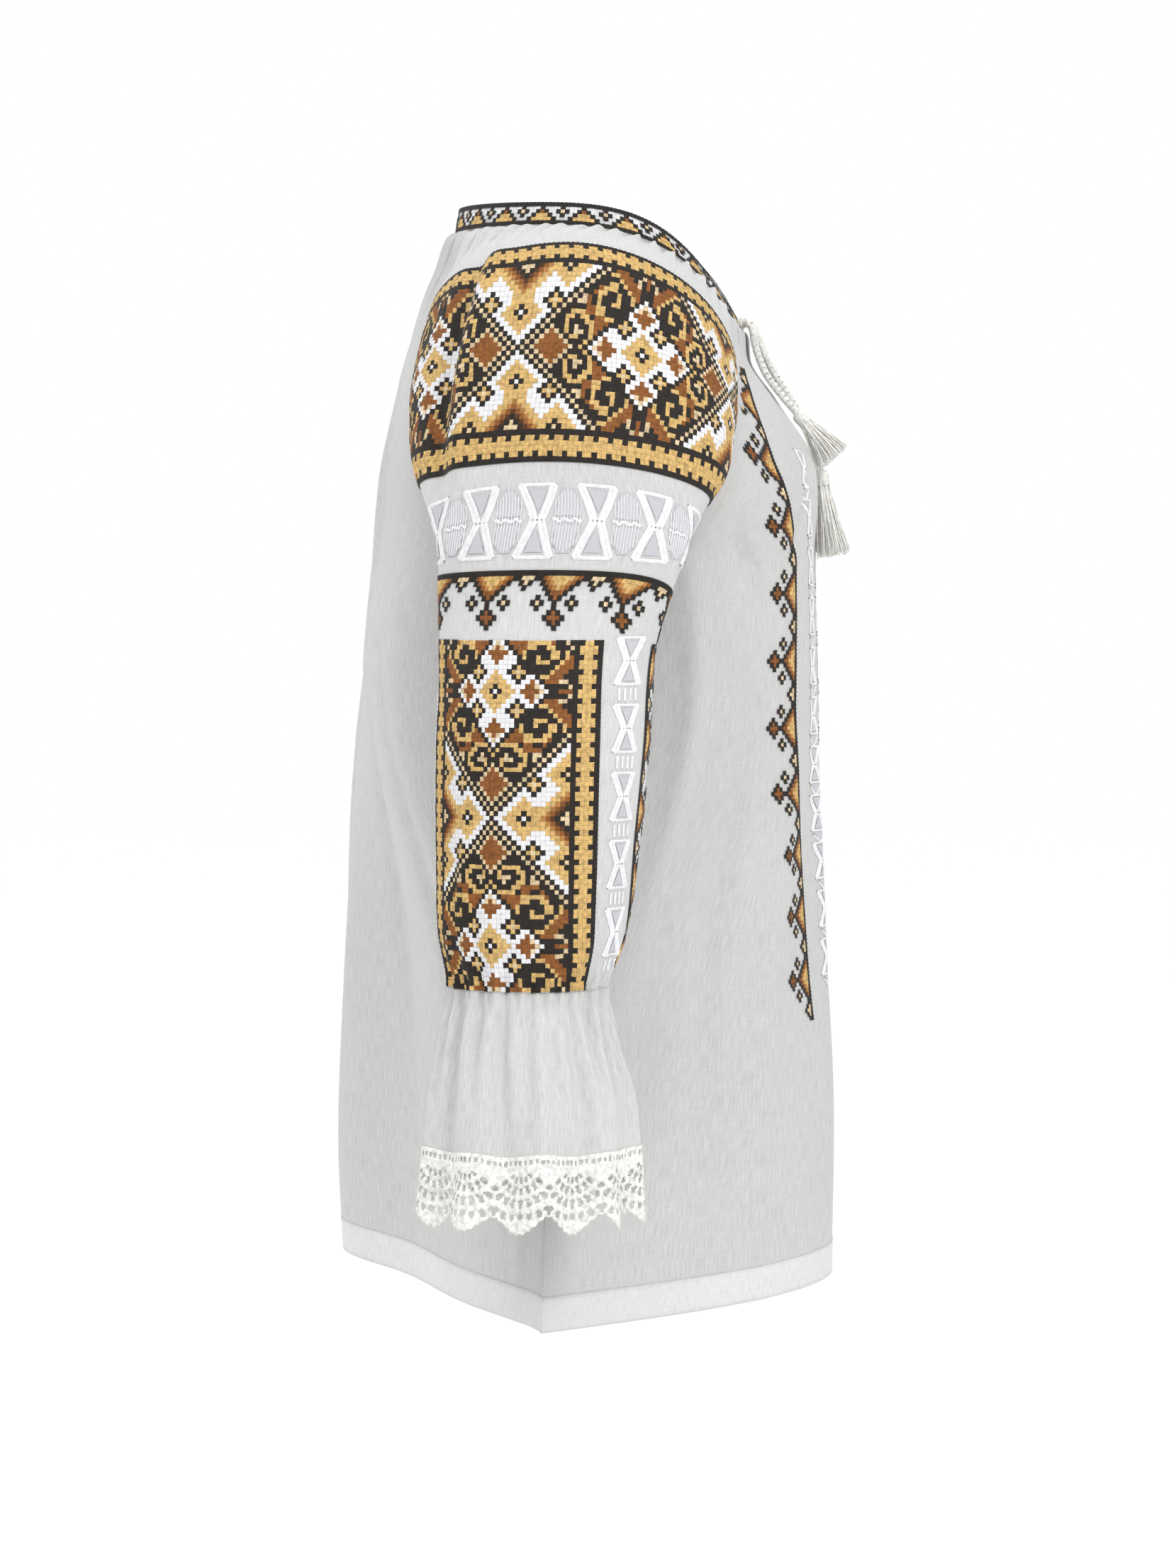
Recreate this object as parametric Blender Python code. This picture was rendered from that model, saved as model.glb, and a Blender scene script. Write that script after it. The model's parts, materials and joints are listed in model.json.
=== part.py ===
"""Folk blouse: raglan sleeves in two pieces, gathered wrists, frills and lace.

Metres, +Z up. The wearer's front faces -Y and the wearer's right is -X.
The origin is in the middle of the neck, level with the foot of the neck band at the shoulders.
Every piece is cut from one set of surfaces, so neighbours share their seams.
"""

import math
from collections import namedtuple

import bmesh
import bpy
import numpy as np
from mathutils import Vector

# Cloth and seams
CLOTH = 0.0015
HEM_CLOTH = 0.0022
LACE_CLOTH = 0.0017
SEAM_GAP = 0.0003
HEM_DEPTH = 0.020
UNDERARM_BLUNTING = 0.30

# Neck ring, where the cloth is gathered into the band
NECK_HALF_WIDTH = 0.092
NECK_HALF_DEPTH = 0.0885
NECK_CENTRE_Y = -0.0075
NECK_SIDE_Z = -0.006
NECK_FRONT_DROP = 0.0605
NECK_DROP_ANGLE = 50.0
NECK_DROP_POWER = 2.1
FRONT_SEAM_ANGLE = 22.0
BACK_SEAM_ANGLE = 145.0
CAP_FALL_POWER = 1.85

# Neck band
BAND_HEIGHT = 0.0155
BAND_THICKNESS = 0.0022
BAND_END_ANGLE = 4.0
BAND_LEAN_SIDE = 28.0
BAND_LEAN_BACK = 9.0

# Front slit
SLIT_BOTTOM_Z = -0.188
SLIT_TOP_HALF_GAP = 0.0062
SLIT_BOTTOM_HALF_GAP = 0.0006

# Levels of the body and the arm
UNDERARM_Z = -0.207
HEM_Z = -0.645
HEM_BACK_RISE = 0.012
SIDE_SEAM_HEM_Y = 0.007
BODY_SQUARENESS = 1.15
UNDERARM_Y = -0.002
WRIST_Z = -0.4435
FRILL_END_Z = -0.533
LACE_VALLEY_Z = -0.5605
LACE_TIP_DROP = 0.0105

# Gathers, flutes and scallops, counted all round
CAP_GATHERS = 18
FRONT_GATHERS = 11
BACK_GATHERS = 11
WRIST_GATHERS = 18
FRILL_FLUTES = 9
SCALLOPS = 12
NECK_GATHER_HEIGHT = 0.0012
WRIST_GATHER_HEIGHT = 0.0016
FLUTE_HEIGHT = 0.0046

# Columns and rows of the solids
SLEEVE_COLUMNS = 36
BODY_COLUMNS = 22
LACE_COLUMNS = 72
CAP_LEVELS = (0.0, 0.08, 0.17, 0.27, 0.38, 0.49, 0.60, 0.70, 0.79, 0.87, 0.94, 1.0)
ARM_LEVELS = (-0.222, -0.250, -0.285, -0.325, -0.365, -0.398, -0.420, -0.434, WRIST_Z)
FRILL_LEVELS = (WRIST_Z, -0.450, -0.468, -0.498, FRILL_END_Z)
LACE_LEVELS = (0.0, 0.5, 1.0)
BODY_LEVELS = (-0.236, -0.275, -0.322, -0.370, -0.420, -0.470, -0.520, -0.568, -0.606)
HEM_LEVELS = (HEM_Z + HEM_DEPTH, HEM_Z)

# Distances across are from the middle of the garment, outward, so both sides share the tables.
# The cap of a sleeve, from the neck to the underarm: where its front and back seams, its
# crown and its middle are at each level.
CapRow = namedtuple(
    "CapRow",
    "level front_out front_y front_z back_out back_y back_z "
    "crown_out crown_z middle_out middle_y half_y",
)
CAP_TABLE = (
    CapRow(0.25, 0.060, -0.0942, -0.0837, 0.075, 0.0880, -0.055, 0.155, -0.020, 0.045, -0.004, 0.0935),
    CapRow(0.42, 0.085, -0.0965, -0.1040, 0.092, 0.0940, -0.088, 0.181, -0.054, 0.085, -0.003, 0.0955),
    CapRow(0.60, 0.112, -0.0955, -0.1300, 0.115, 0.0930, -0.122, 0.199, -0.100, 0.125, -0.002, 0.0955),
    CapRow(0.79, 0.150, -0.0840, -0.1700, 0.147, 0.0770, -0.168, 0.213, -0.147, 0.165, -0.002, 0.0857),
    CapRow(0.905, 0.160, -0.0500, -0.1960, 0.160, 0.0460, -0.196, 0.220, -0.174, 0.186, -0.002, 0.0745),
    CapRow(1.0, 0.162, -0.0020, -0.2070, 0.162, -0.0020, -0.207, 0.227, -0.198, 0.1945, -0.002, 0.0715),
)

# Rings of the arm and the frill, below the underarm
ArmRing = namedtuple("ArmRing", "z middle_out middle_y half_out half_y")
ARM_TABLE = (
    ArmRing(-0.2025, 0.1945, -0.0020, 0.0325, 0.0715),
    ArmRing(-0.225, 0.2010, 0.0015, 0.0310, 0.0665),
    ArmRing(-0.254, 0.2110, 0.0048, 0.0385, 0.0620),
    ArmRing(-0.309, 0.2275, 0.0060, 0.0465, 0.0610),
    ArmRing(-0.375, 0.2395, 0.0084, 0.0490, 0.0570),
    ArmRing(-0.418, 0.2495, 0.0100, 0.0475, 0.0520),
    ArmRing(-0.4435, 0.2550, 0.0108, 0.0410, 0.0437),
    ArmRing(-0.470, 0.2615, 0.0107, 0.0440, 0.0480),
    ArmRing(-0.504, 0.2715, 0.0080, 0.0480, 0.0550),
    ArmRing(-0.537, 0.2805, 0.0075, 0.0510, 0.0575),
    ArmRing(-0.572, 0.2890, 0.0078, 0.0530, 0.0600),
)

# The body from the side: where the middle of the front and of the back lie at each height
ProfilePoint = namedtuple("ProfilePoint", "z y")
FRONT_PROFILE = (
    ProfilePoint(-0.0665, -0.0960),
    ProfilePoint(-0.0850, -0.0985),
    ProfilePoint(-0.1060, -0.1150),
    ProfilePoint(-0.1253, -0.1272),
    ProfilePoint(-0.1464, -0.1370),
    ProfilePoint(-0.1700, -0.1395),
    ProfilePoint(-0.2200, -0.1398),
    ProfilePoint(-0.3430, -0.1430),
    ProfilePoint(-0.4410, -0.1480),
    ProfilePoint(-0.5380, -0.1530),
    ProfilePoint(-0.6450, -0.1520),
)
BACK_PROFILE = (
    ProfilePoint(-0.0050, 0.0810),
    ProfilePoint(-0.0514, 0.1020),
    ProfilePoint(-0.0857, 0.1110),
    ProfilePoint(-0.1147, 0.1150),
    ProfilePoint(-0.1730, 0.1215),
    ProfilePoint(-0.2700, 0.1340),
    ProfilePoint(-0.3430, 0.1420),
    ProfilePoint(-0.4650, 0.1520),
    ProfilePoint(-0.5870, 0.1565),
    ProfilePoint(-0.6330, 0.1540),
)
SidePoint = namedtuple("SidePoint", "z out")
SIDE_PROFILE = (
    SidePoint(-0.207, 0.1620),
    SidePoint(-0.309, 0.1700),
    SidePoint(-0.418, 0.1880),
    SidePoint(-0.537, 0.2110),
    SidePoint(-0.645, 0.2290),
)

# Folds: soft ridges (height above 0) and troughs. Each runs from one level to another, and its
# place across drifts from start to end. Across a sleeve is 0 at the front seam and 1 at the
# back seam, and across a panel is -1 at the right seam, 0 in the middle and 1 at the left.
Fold = namedtuple("Fold", "side top bottom across_top across_bottom width height")
SLEEVE_FOLDS = (
    Fold(-1, 0.18, 0.86, 0.700, 0.690, 0.035, 0.0045),
    Fold(-1, 0.14, 0.90, 0.765, 0.750, 0.035, -0.0085),
    Fold(1, 0.18, 0.86, 0.690, 0.700, 0.040, 0.0035),
    Fold(1, 0.14, 0.90, 0.760, 0.775, 0.040, -0.0065),
    Fold(0, 1.00, 1.90, 0.860, 0.820, 0.050, -0.0030),
    Fold(0, 1.05, 1.80, 0.120, 0.160, 0.050, -0.0025),
    Fold(0, 1.30, 2.00, 0.380, 0.400, 0.045, 0.0020),
)
FRONT_FOLDS = (
    Fold(0, 0.30, 1.45, -0.72, -0.55, 0.10, -0.0035),
    Fold(0, 0.30, 1.35, 0.74, 0.52, 0.10, -0.0030),
    Fold(0, 0.95, 2.05, -0.30, -0.42, 0.10, 0.0040),
    Fold(0, 1.05, 2.05, 0.26, 0.40, 0.12, 0.0045),
    Fold(0, 1.30, 2.05, -0.62, -0.72, 0.10, -0.0035),
    Fold(0, 1.25, 2.05, 0.64, 0.70, 0.10, -0.0040),
)
BACK_FOLDS = (
    Fold(0, 1.15, 2.30, -0.30, -0.33, 0.19, -0.0240),
    Fold(0, 1.25, 2.30, 0.34, 0.36, 0.20, -0.0190),
    Fold(0, 0.70, 2.10, 0.00, 0.02, 0.13, 0.0040),
    Fold(0, 0.85, 2.10, -0.62, -0.70, 0.12, 0.0050),
    Fold(0, 0.90, 2.10, 0.66, 0.70, 0.12, 0.0045),
)

# Drawstrings: each leaves the band's face near the slit and goes on along a route chosen by
# hand, with a tassel on its end
CORD_DIAMETER = 0.0062
CORD_SPACING = 0.0045
CORD_EXIT = 0.0038
CORD_RIGHT_ROUTE = (
    (-0.0128, -0.1000, -0.0602),
    (-0.0128, -0.1022, -0.0645),
    (-0.0129, -0.1030, -0.0700),
    (-0.0130, -0.1050, -0.0777),
    (-0.0130, -0.1104, -0.0908),
    (-0.0126, -0.1200, -0.1039),
    (-0.0122, -0.1296, -0.1150),
)
CORD_LEFT_ROUTE = (
    (0.0120, -0.1000, -0.0600),
    (0.0095, -0.1032, -0.0640),
    (0.0060, -0.1058, -0.0705),
    (0.0020, -0.1092, -0.0790),
    (0.0000, -0.1145, -0.0895),
    (0.0012, -0.1218, -0.1010),
    (0.0040, -0.1300, -0.1140),
    (0.0065, -0.1372, -0.1275),
    (0.0074, -0.1415, -0.1400),
    (0.0076, -0.1432, -0.1495),
)
Tassel = namedtuple("Tassel", "head_length head_radius skirt_length spread sag")
TASSEL_RIGHT = Tassel(0.008, 0.0042, 0.027, 0.34, 0.0030)
TASSEL_LEFT = Tassel(0.010, 0.0045, 0.045, 0.15, 0.0000)
STRAND_KEEP = 0.56

COLLECTION_NAME = "folk_blouse"


def cubic_through(knots, values, at):
    """Smooth curve through the rows of a short table, with slopes from their neighbours."""
    knots = np.asarray(knots, dtype=float)
    values = np.asarray(values, dtype=float)
    at = np.clip(np.asarray(at, dtype=float), knots[0], knots[-1])
    gaps = np.diff(knots)
    rises = np.diff(values) / gaps
    slopes = np.empty_like(values)
    slopes[0] = rises[0]
    slopes[-1] = rises[-1]
    slopes[1:-1] = (rises[:-1] * gaps[1:] + rises[1:] * gaps[:-1]) / (gaps[:-1] + gaps[1:])
    place = np.clip(np.searchsorted(knots, at, side="right") - 1, 0, len(gaps) - 1)
    width = gaps[place]
    s = (at - knots[place]) / width
    return (
        (2 * s**3 - 3 * s**2 + 1) * values[place]
        + (s**3 - 2 * s**2 + s) * width * slopes[place]
        + (-2 * s**3 + 3 * s**2) * values[place + 1]
        + (s**3 - s**2) * width * slopes[place + 1]
    )


def column(table, name, reverse=False):
    values = [getattr(row, name) for row in table]
    return values[::-1] if reverse else values


def by_height(table, name, z):
    """A column of a table whose rows go down in z."""
    return cubic_through(column(table, "z", True), column(table, name, True), z)


def ease(x, start, end):
    s = np.clip((np.asarray(x, dtype=float) - start) / (end - start), 0.0, 1.0)
    return s * s * (3 - 2 * s)


def neck_height(angle):
    """Height of the neck ring: 0 degrees at the front, 90 at the shoulder, 180 at the back."""
    fall = np.exp(-((np.abs(angle) / NECK_DROP_ANGLE) ** NECK_DROP_POWER))
    return NECK_SIDE_Z - NECK_FRONT_DROP * fall


def neck_ring(angle):
    turn = np.radians(angle)
    return np.stack(
        [
            NECK_HALF_WIDTH * np.sin(turn),
            NECK_CENTRE_Y - NECK_HALF_DEPTH * np.cos(turn),
            neck_height(np.asarray(angle, dtype=float)),
        ],
        axis=-1,
    )


def cap_rows():
    """The cap's table with its first row worked out from the neck ring."""
    front = neck_ring(FRONT_SEAM_ANGLE)
    back = neck_ring(BACK_SEAM_ANGLE)
    first = CapRow(
        0.0, *front, *back, NECK_HALF_WIDTH, NECK_SIDE_Z, 0.0, NECK_CENTRE_Y, NECK_HALF_DEPTH
    )
    return (first,) + CAP_TABLE


CAP_ROWS = cap_rows()


def cap_value(name, level):
    return cubic_through(column(CAP_ROWS, "level"), column(CAP_ROWS, name), level)


def cap_surface(level, across):
    """Outer face of a sleeve's cap, as distances outward, along Y and up."""
    get = {name: cap_value(name, level) for name in CapRow._fields[1:]}
    half_out = get["crown_out"] - get["middle_out"]
    front_angle = np.arctan2(
        (get["front_out"] - get["middle_out"]) / half_out,
        (get["middle_y"] - get["front_y"]) / get["half_y"],
    )
    back_angle = np.arctan2(
        (get["back_out"] - get["middle_out"]) / half_out,
        (get["middle_y"] - get["back_y"]) / get["half_y"],
    )
    back_angle = np.where(back_angle < 0, back_angle + 2 * math.pi, back_angle)
    angle = front_angle + (back_angle - front_angle) * across

    def on_ring(turn):
        return (
            get["middle_out"] + half_out * np.sin(turn),
            get["middle_y"] - get["half_y"] * np.cos(turn),
        )

    out, y = on_ring(angle)
    front_end = on_ring(front_angle)
    back_end = on_ring(back_angle)
    near_front = (1 - across) ** 3
    near_back = across**3
    out = out + near_front * (get["front_out"] - front_end[0])
    out = out + near_back * (get["back_out"] - back_end[0])
    y = y + near_front * (get["front_y"] - front_end[1])
    y = y + near_back * (get["back_y"] - back_end[1])

    crown = math.pi / 2
    share = np.where(
        angle < crown,
        (crown - angle) / (crown - front_angle),
        (angle - crown) / (back_angle - crown),
    )
    share = np.clip(share, 0.0, 1.0)
    closing = level**3
    fall = (1 - closing) * share**CAP_FALL_POWER + closing * (1 - np.cos(math.pi * share)) / 2
    end_z = np.where(angle < crown, get["front_z"], get["back_z"])
    ring_z = neck_height(FRONT_SEAM_ANGLE + (BACK_SEAM_ANGLE - FRONT_SEAM_ANGLE) * across)
    z = get["crown_z"] + (end_z - get["crown_z"]) * fall
    z = z + (ring_z - z) * (1 - ease(level, 0.0, 0.12))
    return np.stack([out, y, z], axis=-1)


def arm_surface(z, across):
    """Outer face of the arm and frill at a height, across from 0 round to 1 at the underarm."""
    get = {name: by_height(ARM_TABLE, name, z) for name in ArmRing._fields[1:]}
    angle = -math.pi / 2 + 2 * math.pi * across
    out = get["middle_out"] + get["half_out"] * np.sin(angle)
    y = get["middle_y"] - get["half_y"] * np.cos(angle)
    top = ARM_TABLE[0].z
    tilt = (CAP_TABLE[-1].crown_z - UNDERARM_Z) / 2 * (1 - ease(z, top, top - 0.05))
    return np.stack([out, y, z + tilt * np.sin(angle)], axis=-1)


def arm_height(level):
    """Levels below the underarm: 1 at the underarm, 2 at the wrist and on past it."""
    top = ARM_TABLE[0].z
    return top + (level - 1) * (WRIST_Z - top)


def arm_level(z):
    top = ARM_TABLE[0].z
    return 1 + (z - top) / (WRIST_Z - top)


def sleeve_base(level, across):
    level, across = np.broadcast_arrays(np.asarray(level, float), np.asarray(across, float))
    upper = cap_surface(np.clip(level, 0, 1), across)
    lower = arm_surface(arm_height(np.maximum(level, 1)), across)
    return np.where((level <= 1)[..., None], upper, lower)


def unit(vectors):
    return vectors / np.maximum(np.linalg.norm(vectors, axis=-1, keepdims=True), 1e-12)


def surface_normal(surface, down, across, step=0.004):
    """Outward direction of a surface, from its slopes on both sides."""
    along = surface(down + step, across) - surface(down - step, across)
    round_ = surface(down, across + step) - surface(down, across - step)
    return unit(np.cross(along, round_))


def fold_height(folds, side, level, across):
    total = np.zeros(np.broadcast(level, across).shape)
    for fold in folds:
        if fold.side not in (0, side):
            continue
        share = np.clip((level - fold.top) / (fold.bottom - fold.top), 0.0, 1.0)
        middle = fold.across_top + (fold.across_bottom - fold.across_top) * share
        rise = np.sin(math.pi * share) ** 0.8
        total = total + fold.height * rise * np.exp(-(((across - middle) / fold.width) ** 2))
    return total


def sleeve_relief(side, level, across):
    """How far the cloth stands proud: folds, gathers at the neck and wrist, and flutes."""
    seam_fade = np.where(level < 1.25, ease(across, 0.0, 0.06) * ease(1 - across, 0.0, 0.06), 1.0)
    relief = fold_height(SLEEVE_FOLDS, side, level, across) * seam_fade
    neck_share = (0.5 + ease(level, 0.0, 0.05)) * (1 - ease(level, 0.05, 0.24))
    relief = relief + NECK_GATHER_HEIGHT * neck_share * seam_fade * np.cos(
        2 * math.pi * CAP_GATHERS * across
    )
    wrist_share = np.exp(-(((level - 2.0) / np.where(level < 2, 0.10, 0.12)) ** 2))
    relief = relief + WRIST_GATHER_HEIGHT * wrist_share * np.cos(2 * math.pi * WRIST_GATHERS * across)
    flute_share = ease(level, 2.02, 2.42)
    sway = 0.25 * np.sin(2 * math.pi * across + 0.6 * side)
    flutes = np.sin(2 * math.pi * FRILL_FLUTES * across + sway)
    return relief + FLUTE_HEIGHT * flute_share * flutes


def sleeve_surface(side, level, across):
    """Outer face of a whole sleeve with its relief, in the garment's own frame."""
    level, across = np.broadcast_arrays(np.asarray(level, float), np.asarray(across, float))
    base = sleeve_base(level, across)
    outward = surface_normal(sleeve_base, level, across)
    points = base + outward * sleeve_relief(side, level, across)[..., None]
    points[..., 0] *= side
    return points


def panel_edge(level, is_front):
    """The raglan seam of a body panel down to the underarm."""
    name = "front" if is_front else "back"
    return [cap_value(name + part, level) for part in ("_out", "_y", "_z")]


def body_base(is_front, level, across):
    """Outer face of the front or back panel: level 0 neck, 1 underarm, 2 hem."""
    level, across = np.broadcast_arrays(np.asarray(level, float), np.asarray(across, float))
    profile = FRONT_PROFILE if is_front else BACK_PROFILE
    sign = -1.0 if is_front else 1.0
    top_z = profile[0].z
    upper = np.clip(level, 0, 1)
    lower = np.clip(level, 1, 2) - 1
    hem_z = HEM_Z if is_front else HEM_Z + HEM_BACK_RISE
    middle_z = np.where(
        level <= 1,
        top_z + (UNDERARM_Z - top_z) * upper,
        UNDERARM_Z + (hem_z - UNDERARM_Z) * lower,
    )
    edge_low_z = UNDERARM_Z + (HEM_Z - UNDERARM_Z) * lower
    middle_y = by_height(profile, "y", middle_z)
    seam_out, seam_y, seam_z = panel_edge(upper, is_front)
    side_out = by_height(SIDE_PROFILE, "out", edge_low_z)
    side_y = UNDERARM_Y + (SIDE_SEAM_HEM_Y - UNDERARM_Y) * lower
    edge_out = np.where(level <= 1, seam_out, side_out)
    edge_y = np.where(level <= 1, seam_y, side_y)
    edge_z = np.where(level <= 1, seam_z, edge_low_z)

    axis_y = np.where(level <= 1, NECK_CENTRE_Y + (UNDERARM_Y - NECK_CENTRE_Y) * upper, side_y)
    depth = np.abs(middle_y - axis_y)
    squareness = 2 + BODY_SQUARENESS * ease(level, 0.1, 0.75) * (1 - ease(level, 1.05, 1.6))
    edge_share = np.clip(np.abs(edge_y - axis_y) / depth, 0.0, 1.0)
    reach = np.arcsin((1 - edge_share**squareness) ** (1 / squareness))
    spread = reach + (math.pi / 2 - reach) * ease(level, 0.2, 0.9)
    angle = spread * across
    out = edge_out * np.sin(angle) / np.sin(spread)
    share = np.clip(np.abs(out) * np.sin(reach) / edge_out, 0.0, 1.0)
    round_y = depth * (1 - share**squareness) ** (1 / squareness)
    lens_y = depth * np.cos(math.pi / 2 * share)
    lens_share = ease(level, 1.15, 1.95) * 0.92
    y = axis_y + sign * (round_y + (lens_y - round_y) * lens_share)
    z = middle_z + (edge_z - middle_z) * across**2
    if is_front:
        ring_z = neck_height(FRONT_SEAM_ANGLE * across)
    else:
        ring_z = neck_height(180 - (180 - BACK_SEAM_ANGLE) * np.abs(across))
    z = z + (ring_z - z) * (1 - ease(level, 0.0, 0.12))
    return np.stack([out, y, z], axis=-1)


def body_relief(is_front, level, across):
    folds = FRONT_FOLDS if is_front else BACK_FOLDS
    gathers = FRONT_GATHERS if is_front else BACK_GATHERS
    seam_fade = ease(1 - np.abs(across), 0.0, 0.08)
    neck_share = (0.5 + ease(level, 0.0, 0.06)) * (1 - ease(level, 0.06, 0.34))
    relief = fold_height(folds, 0, level, across)
    relief = relief + NECK_GATHER_HEIGHT * neck_share * np.cos(math.pi * gathers * across)
    return relief * seam_fade


def body_surface(is_front, level, across):
    level, across = np.broadcast_arrays(np.asarray(level, float), np.asarray(across, float))

    def base(down, over):
        return body_base(is_front, down, over)

    outward = surface_normal(base, np.clip(level, 0.004, 1.996), across)
    if not is_front:
        outward = -outward
    return base(level, across) + outward * body_relief(is_front, level, across)[..., None]


class Sheet:
    """One cut piece: its outer points, the faces between them, and how thick it is there."""

    def __init__(self, name, points, index, flip=False):
        self.name = name
        self.points = points.reshape(-1, 3).copy()
        self.index = index
        self.thickness = np.full(len(self.points), CLOTH)
        self.faces = []
        for row in range(index.shape[0] - 1):
            for col in range(index.shape[1] - 1):
                corners = [
                    index[row, col],
                    index[row, col + 1],
                    index[row + 1, col + 1],
                    index[row + 1, col],
                ]
                kept = list(dict.fromkeys(int(corner) for corner in corners))
                if len(kept) < 3:
                    continue
                self.faces.append(kept[::-1] if flip else kept)
        self.normals = np.zeros_like(self.points)


def whole_index(rows, cols):
    return np.arange(rows * cols).reshape(rows, cols)


def share_normals(sheets):
    """Point normals summed over every sheet that meets at a point, so walls match at seams."""
    totals = {}
    for sheet in sheets:
        for face in sheet.faces:
            corners = sheet.points[face]
            across = corners[2] - corners[0]
            other = corners[3] - corners[1] if len(face) == 4 else corners[2] - corners[1]
            direction = np.cross(across, other)
            for place in face:
                key = tuple(np.round(sheet.points[place], 5))
                totals[key] = totals.get(key, 0) + direction / (np.linalg.norm(direction) + 1e-12)
    for sheet in sheets:
        for place, point in enumerate(sheet.points):
            total = totals.get(tuple(np.round(point, 5)))
            if total is not None:
                sheet.normals[place] = total / (np.linalg.norm(total) + 1e-12)


def pull_in(sheet, edge, inner, distance):
    """Draw an edge's points into the wall, square to the edge and to the wall's normal."""
    points = sheet.points[edge]
    normals = sheet.normals[edge]
    line = np.gradient(points, axis=0)
    line = unit(line - normals * np.sum(line * normals, axis=-1, keepdims=True))
    way = sheet.points[inner] - points
    for square_to in (normals, line):
        way = way - square_to * np.sum(way * square_to, axis=-1, keepdims=True)
    sheet.points[edge] = points + unit(way) * distance


def material(name, colour, roughness):
    made = bpy.data.materials.new(name)
    made.use_nodes = True
    shader = made.node_tree.nodes["Principled BSDF"]
    shader.inputs["Base Color"].default_value = (*colour, 1.0)
    shader.inputs["Roughness"].default_value = roughness
    shader.inputs["Metallic"].default_value = 0.0
    return made


def add_object(name, mesh, collection, finish):
    mesh.materials.append(finish)
    made = bpy.data.objects.new(name, mesh)
    collection.objects.link(made)
    return made


def sheet_object(sheet, collection, finish):
    """Give a sheet its wall: an inner face, and a strip round every open edge."""
    used = sorted({place for face in sheet.faces for place in face})
    order = {place: new for new, place in enumerate(used)}
    outer = sheet.points[used]
    inner = outer - sheet.normals[used] * sheet.thickness[used][:, None]
    count = len(used)
    faces = []
    open_edges = {}
    for face in sheet.faces:
        ring = [order[place] for place in face]
        faces.append(ring)
        faces.append([place + count for place in ring[::-1]])
        for start, end in zip(ring, ring[1:] + ring[:1]):
            if (end, start) in open_edges:
                del open_edges[(end, start)]
            else:
                open_edges[(start, end)] = True
    faces += [[end, start, start + count, end + count] for start, end in open_edges]
    mesh = bpy.data.meshes.new(sheet.name)
    mesh.from_pydata([tuple(point) for point in np.vstack([outer, inner])], [], faces)
    mesh.update()
    mesh.shade_smooth()
    mesh.set_sharp_from_angle(angle=math.radians(50))
    return add_object(sheet.name, mesh, collection, finish)


def tube_sheet(name, side, levels):
    """A length of the sleeve that goes all round, such as the arm or the frill."""
    across = np.linspace(0, 1, SLEEVE_COLUMNS + 1)
    points = sleeve_surface(side, np.array(levels)[:, None], across[None, :])
    index = whole_index(len(levels), SLEEVE_COLUMNS + 1)
    index[:, -1] = index[:, 0]
    return Sheet(name, points, index, flip=side > 0)


def shoulder_sheet(name, side):
    """The upper piece of a sleeve, from the neck to the ring where the whitework ends."""
    across = np.linspace(0, 1, SLEEVE_COLUMNS + 1)
    points = sleeve_surface(side, np.array(CAP_LEVELS)[:, None], across[None, :])
    return Sheet(name, points, whole_index(len(CAP_LEVELS), SLEEVE_COLUMNS + 1), flip=side > 0)


def sleeve_sheet(name, side):
    return tube_sheet(name, side, [1.0] + [float(arm_level(z)) for z in ARM_LEVELS])


def frill_sheet(name, side):
    return tube_sheet(name, side, [float(arm_level(z)) for z in FRILL_LEVELS])


def lace_sheet(name, side):
    """Lace below the frill. Its lower edge is in scallops."""
    across = np.linspace(0, 1, LACE_COLUMNS + 1)
    scallop = np.abs(np.cos(math.pi * SCALLOPS * across)) ** 1.5
    end_z = LACE_VALLEY_Z - LACE_TIP_DROP * scallop
    shares = np.array(LACE_LEVELS)[:, None]
    heights = FRILL_END_Z + (end_z[None, :] - FRILL_END_Z) * shares
    points = sleeve_surface(side, arm_level(heights), across[None, :] + 0 * heights)
    index = whole_index(len(LACE_LEVELS), LACE_COLUMNS + 1)
    index[:, -1] = index[:, 0]
    sheet = Sheet(name, points, index, flip=side > 0)
    sheet.thickness[:] = LACE_CLOTH
    return sheet


def slit_half_gap(z):
    top_z = FRONT_PROFILE[0].z
    share = np.clip((z - SLIT_BOTTOM_Z) / (top_z - SLIT_BOTTOM_Z), 0, 1)
    return SLIT_BOTTOM_HALF_GAP + (SLIT_TOP_HALF_GAP - SLIT_BOTTOM_HALF_GAP) * share**1.2


def body_levels():
    levels = list(CAP_LEVELS)
    levels += [1 + (z - UNDERARM_Z) / (HEM_Z - UNDERARM_Z) for z in BODY_LEVELS + HEM_LEVELS]
    return np.array(levels)


def slit_level():
    top_z = FRONT_PROFILE[0].z
    return (SLIT_BOTTOM_Z - top_z) / (UNDERARM_Z - top_z)


def front_sheet():
    """The front, with its middle column doubled along the slit."""
    levels = body_levels()
    slit_row = int(np.argmin(np.abs(levels - slit_level())))
    half = BODY_COLUMNS // 2
    across = np.linspace(-1, 1, BODY_COLUMNS + 1)
    across = np.concatenate([across[: half + 1], across[half:]])
    points = body_surface(True, levels[:, None], across[None, :])
    for row in range(slit_row):
        gap = slit_half_gap(points[row, half, 2])
        for col, sign in ((half, -1), (half + 1, 1)):
            points[row, col, 0] = sign * gap
    index = whole_index(len(levels), BODY_COLUMNS + 2)
    index[slit_row:, half + 1] = index[slit_row:, half]
    sheet = Sheet("front", points, index, flip=True)
    slit_faces = {(int(index[row, half]), int(index[row, half + 1])) for row in range(slit_row)}
    sheet.faces = [
        face for face in sheet.faces
        if not any(left in face and right in face for left, right in slit_faces)
    ]
    return sheet


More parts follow.
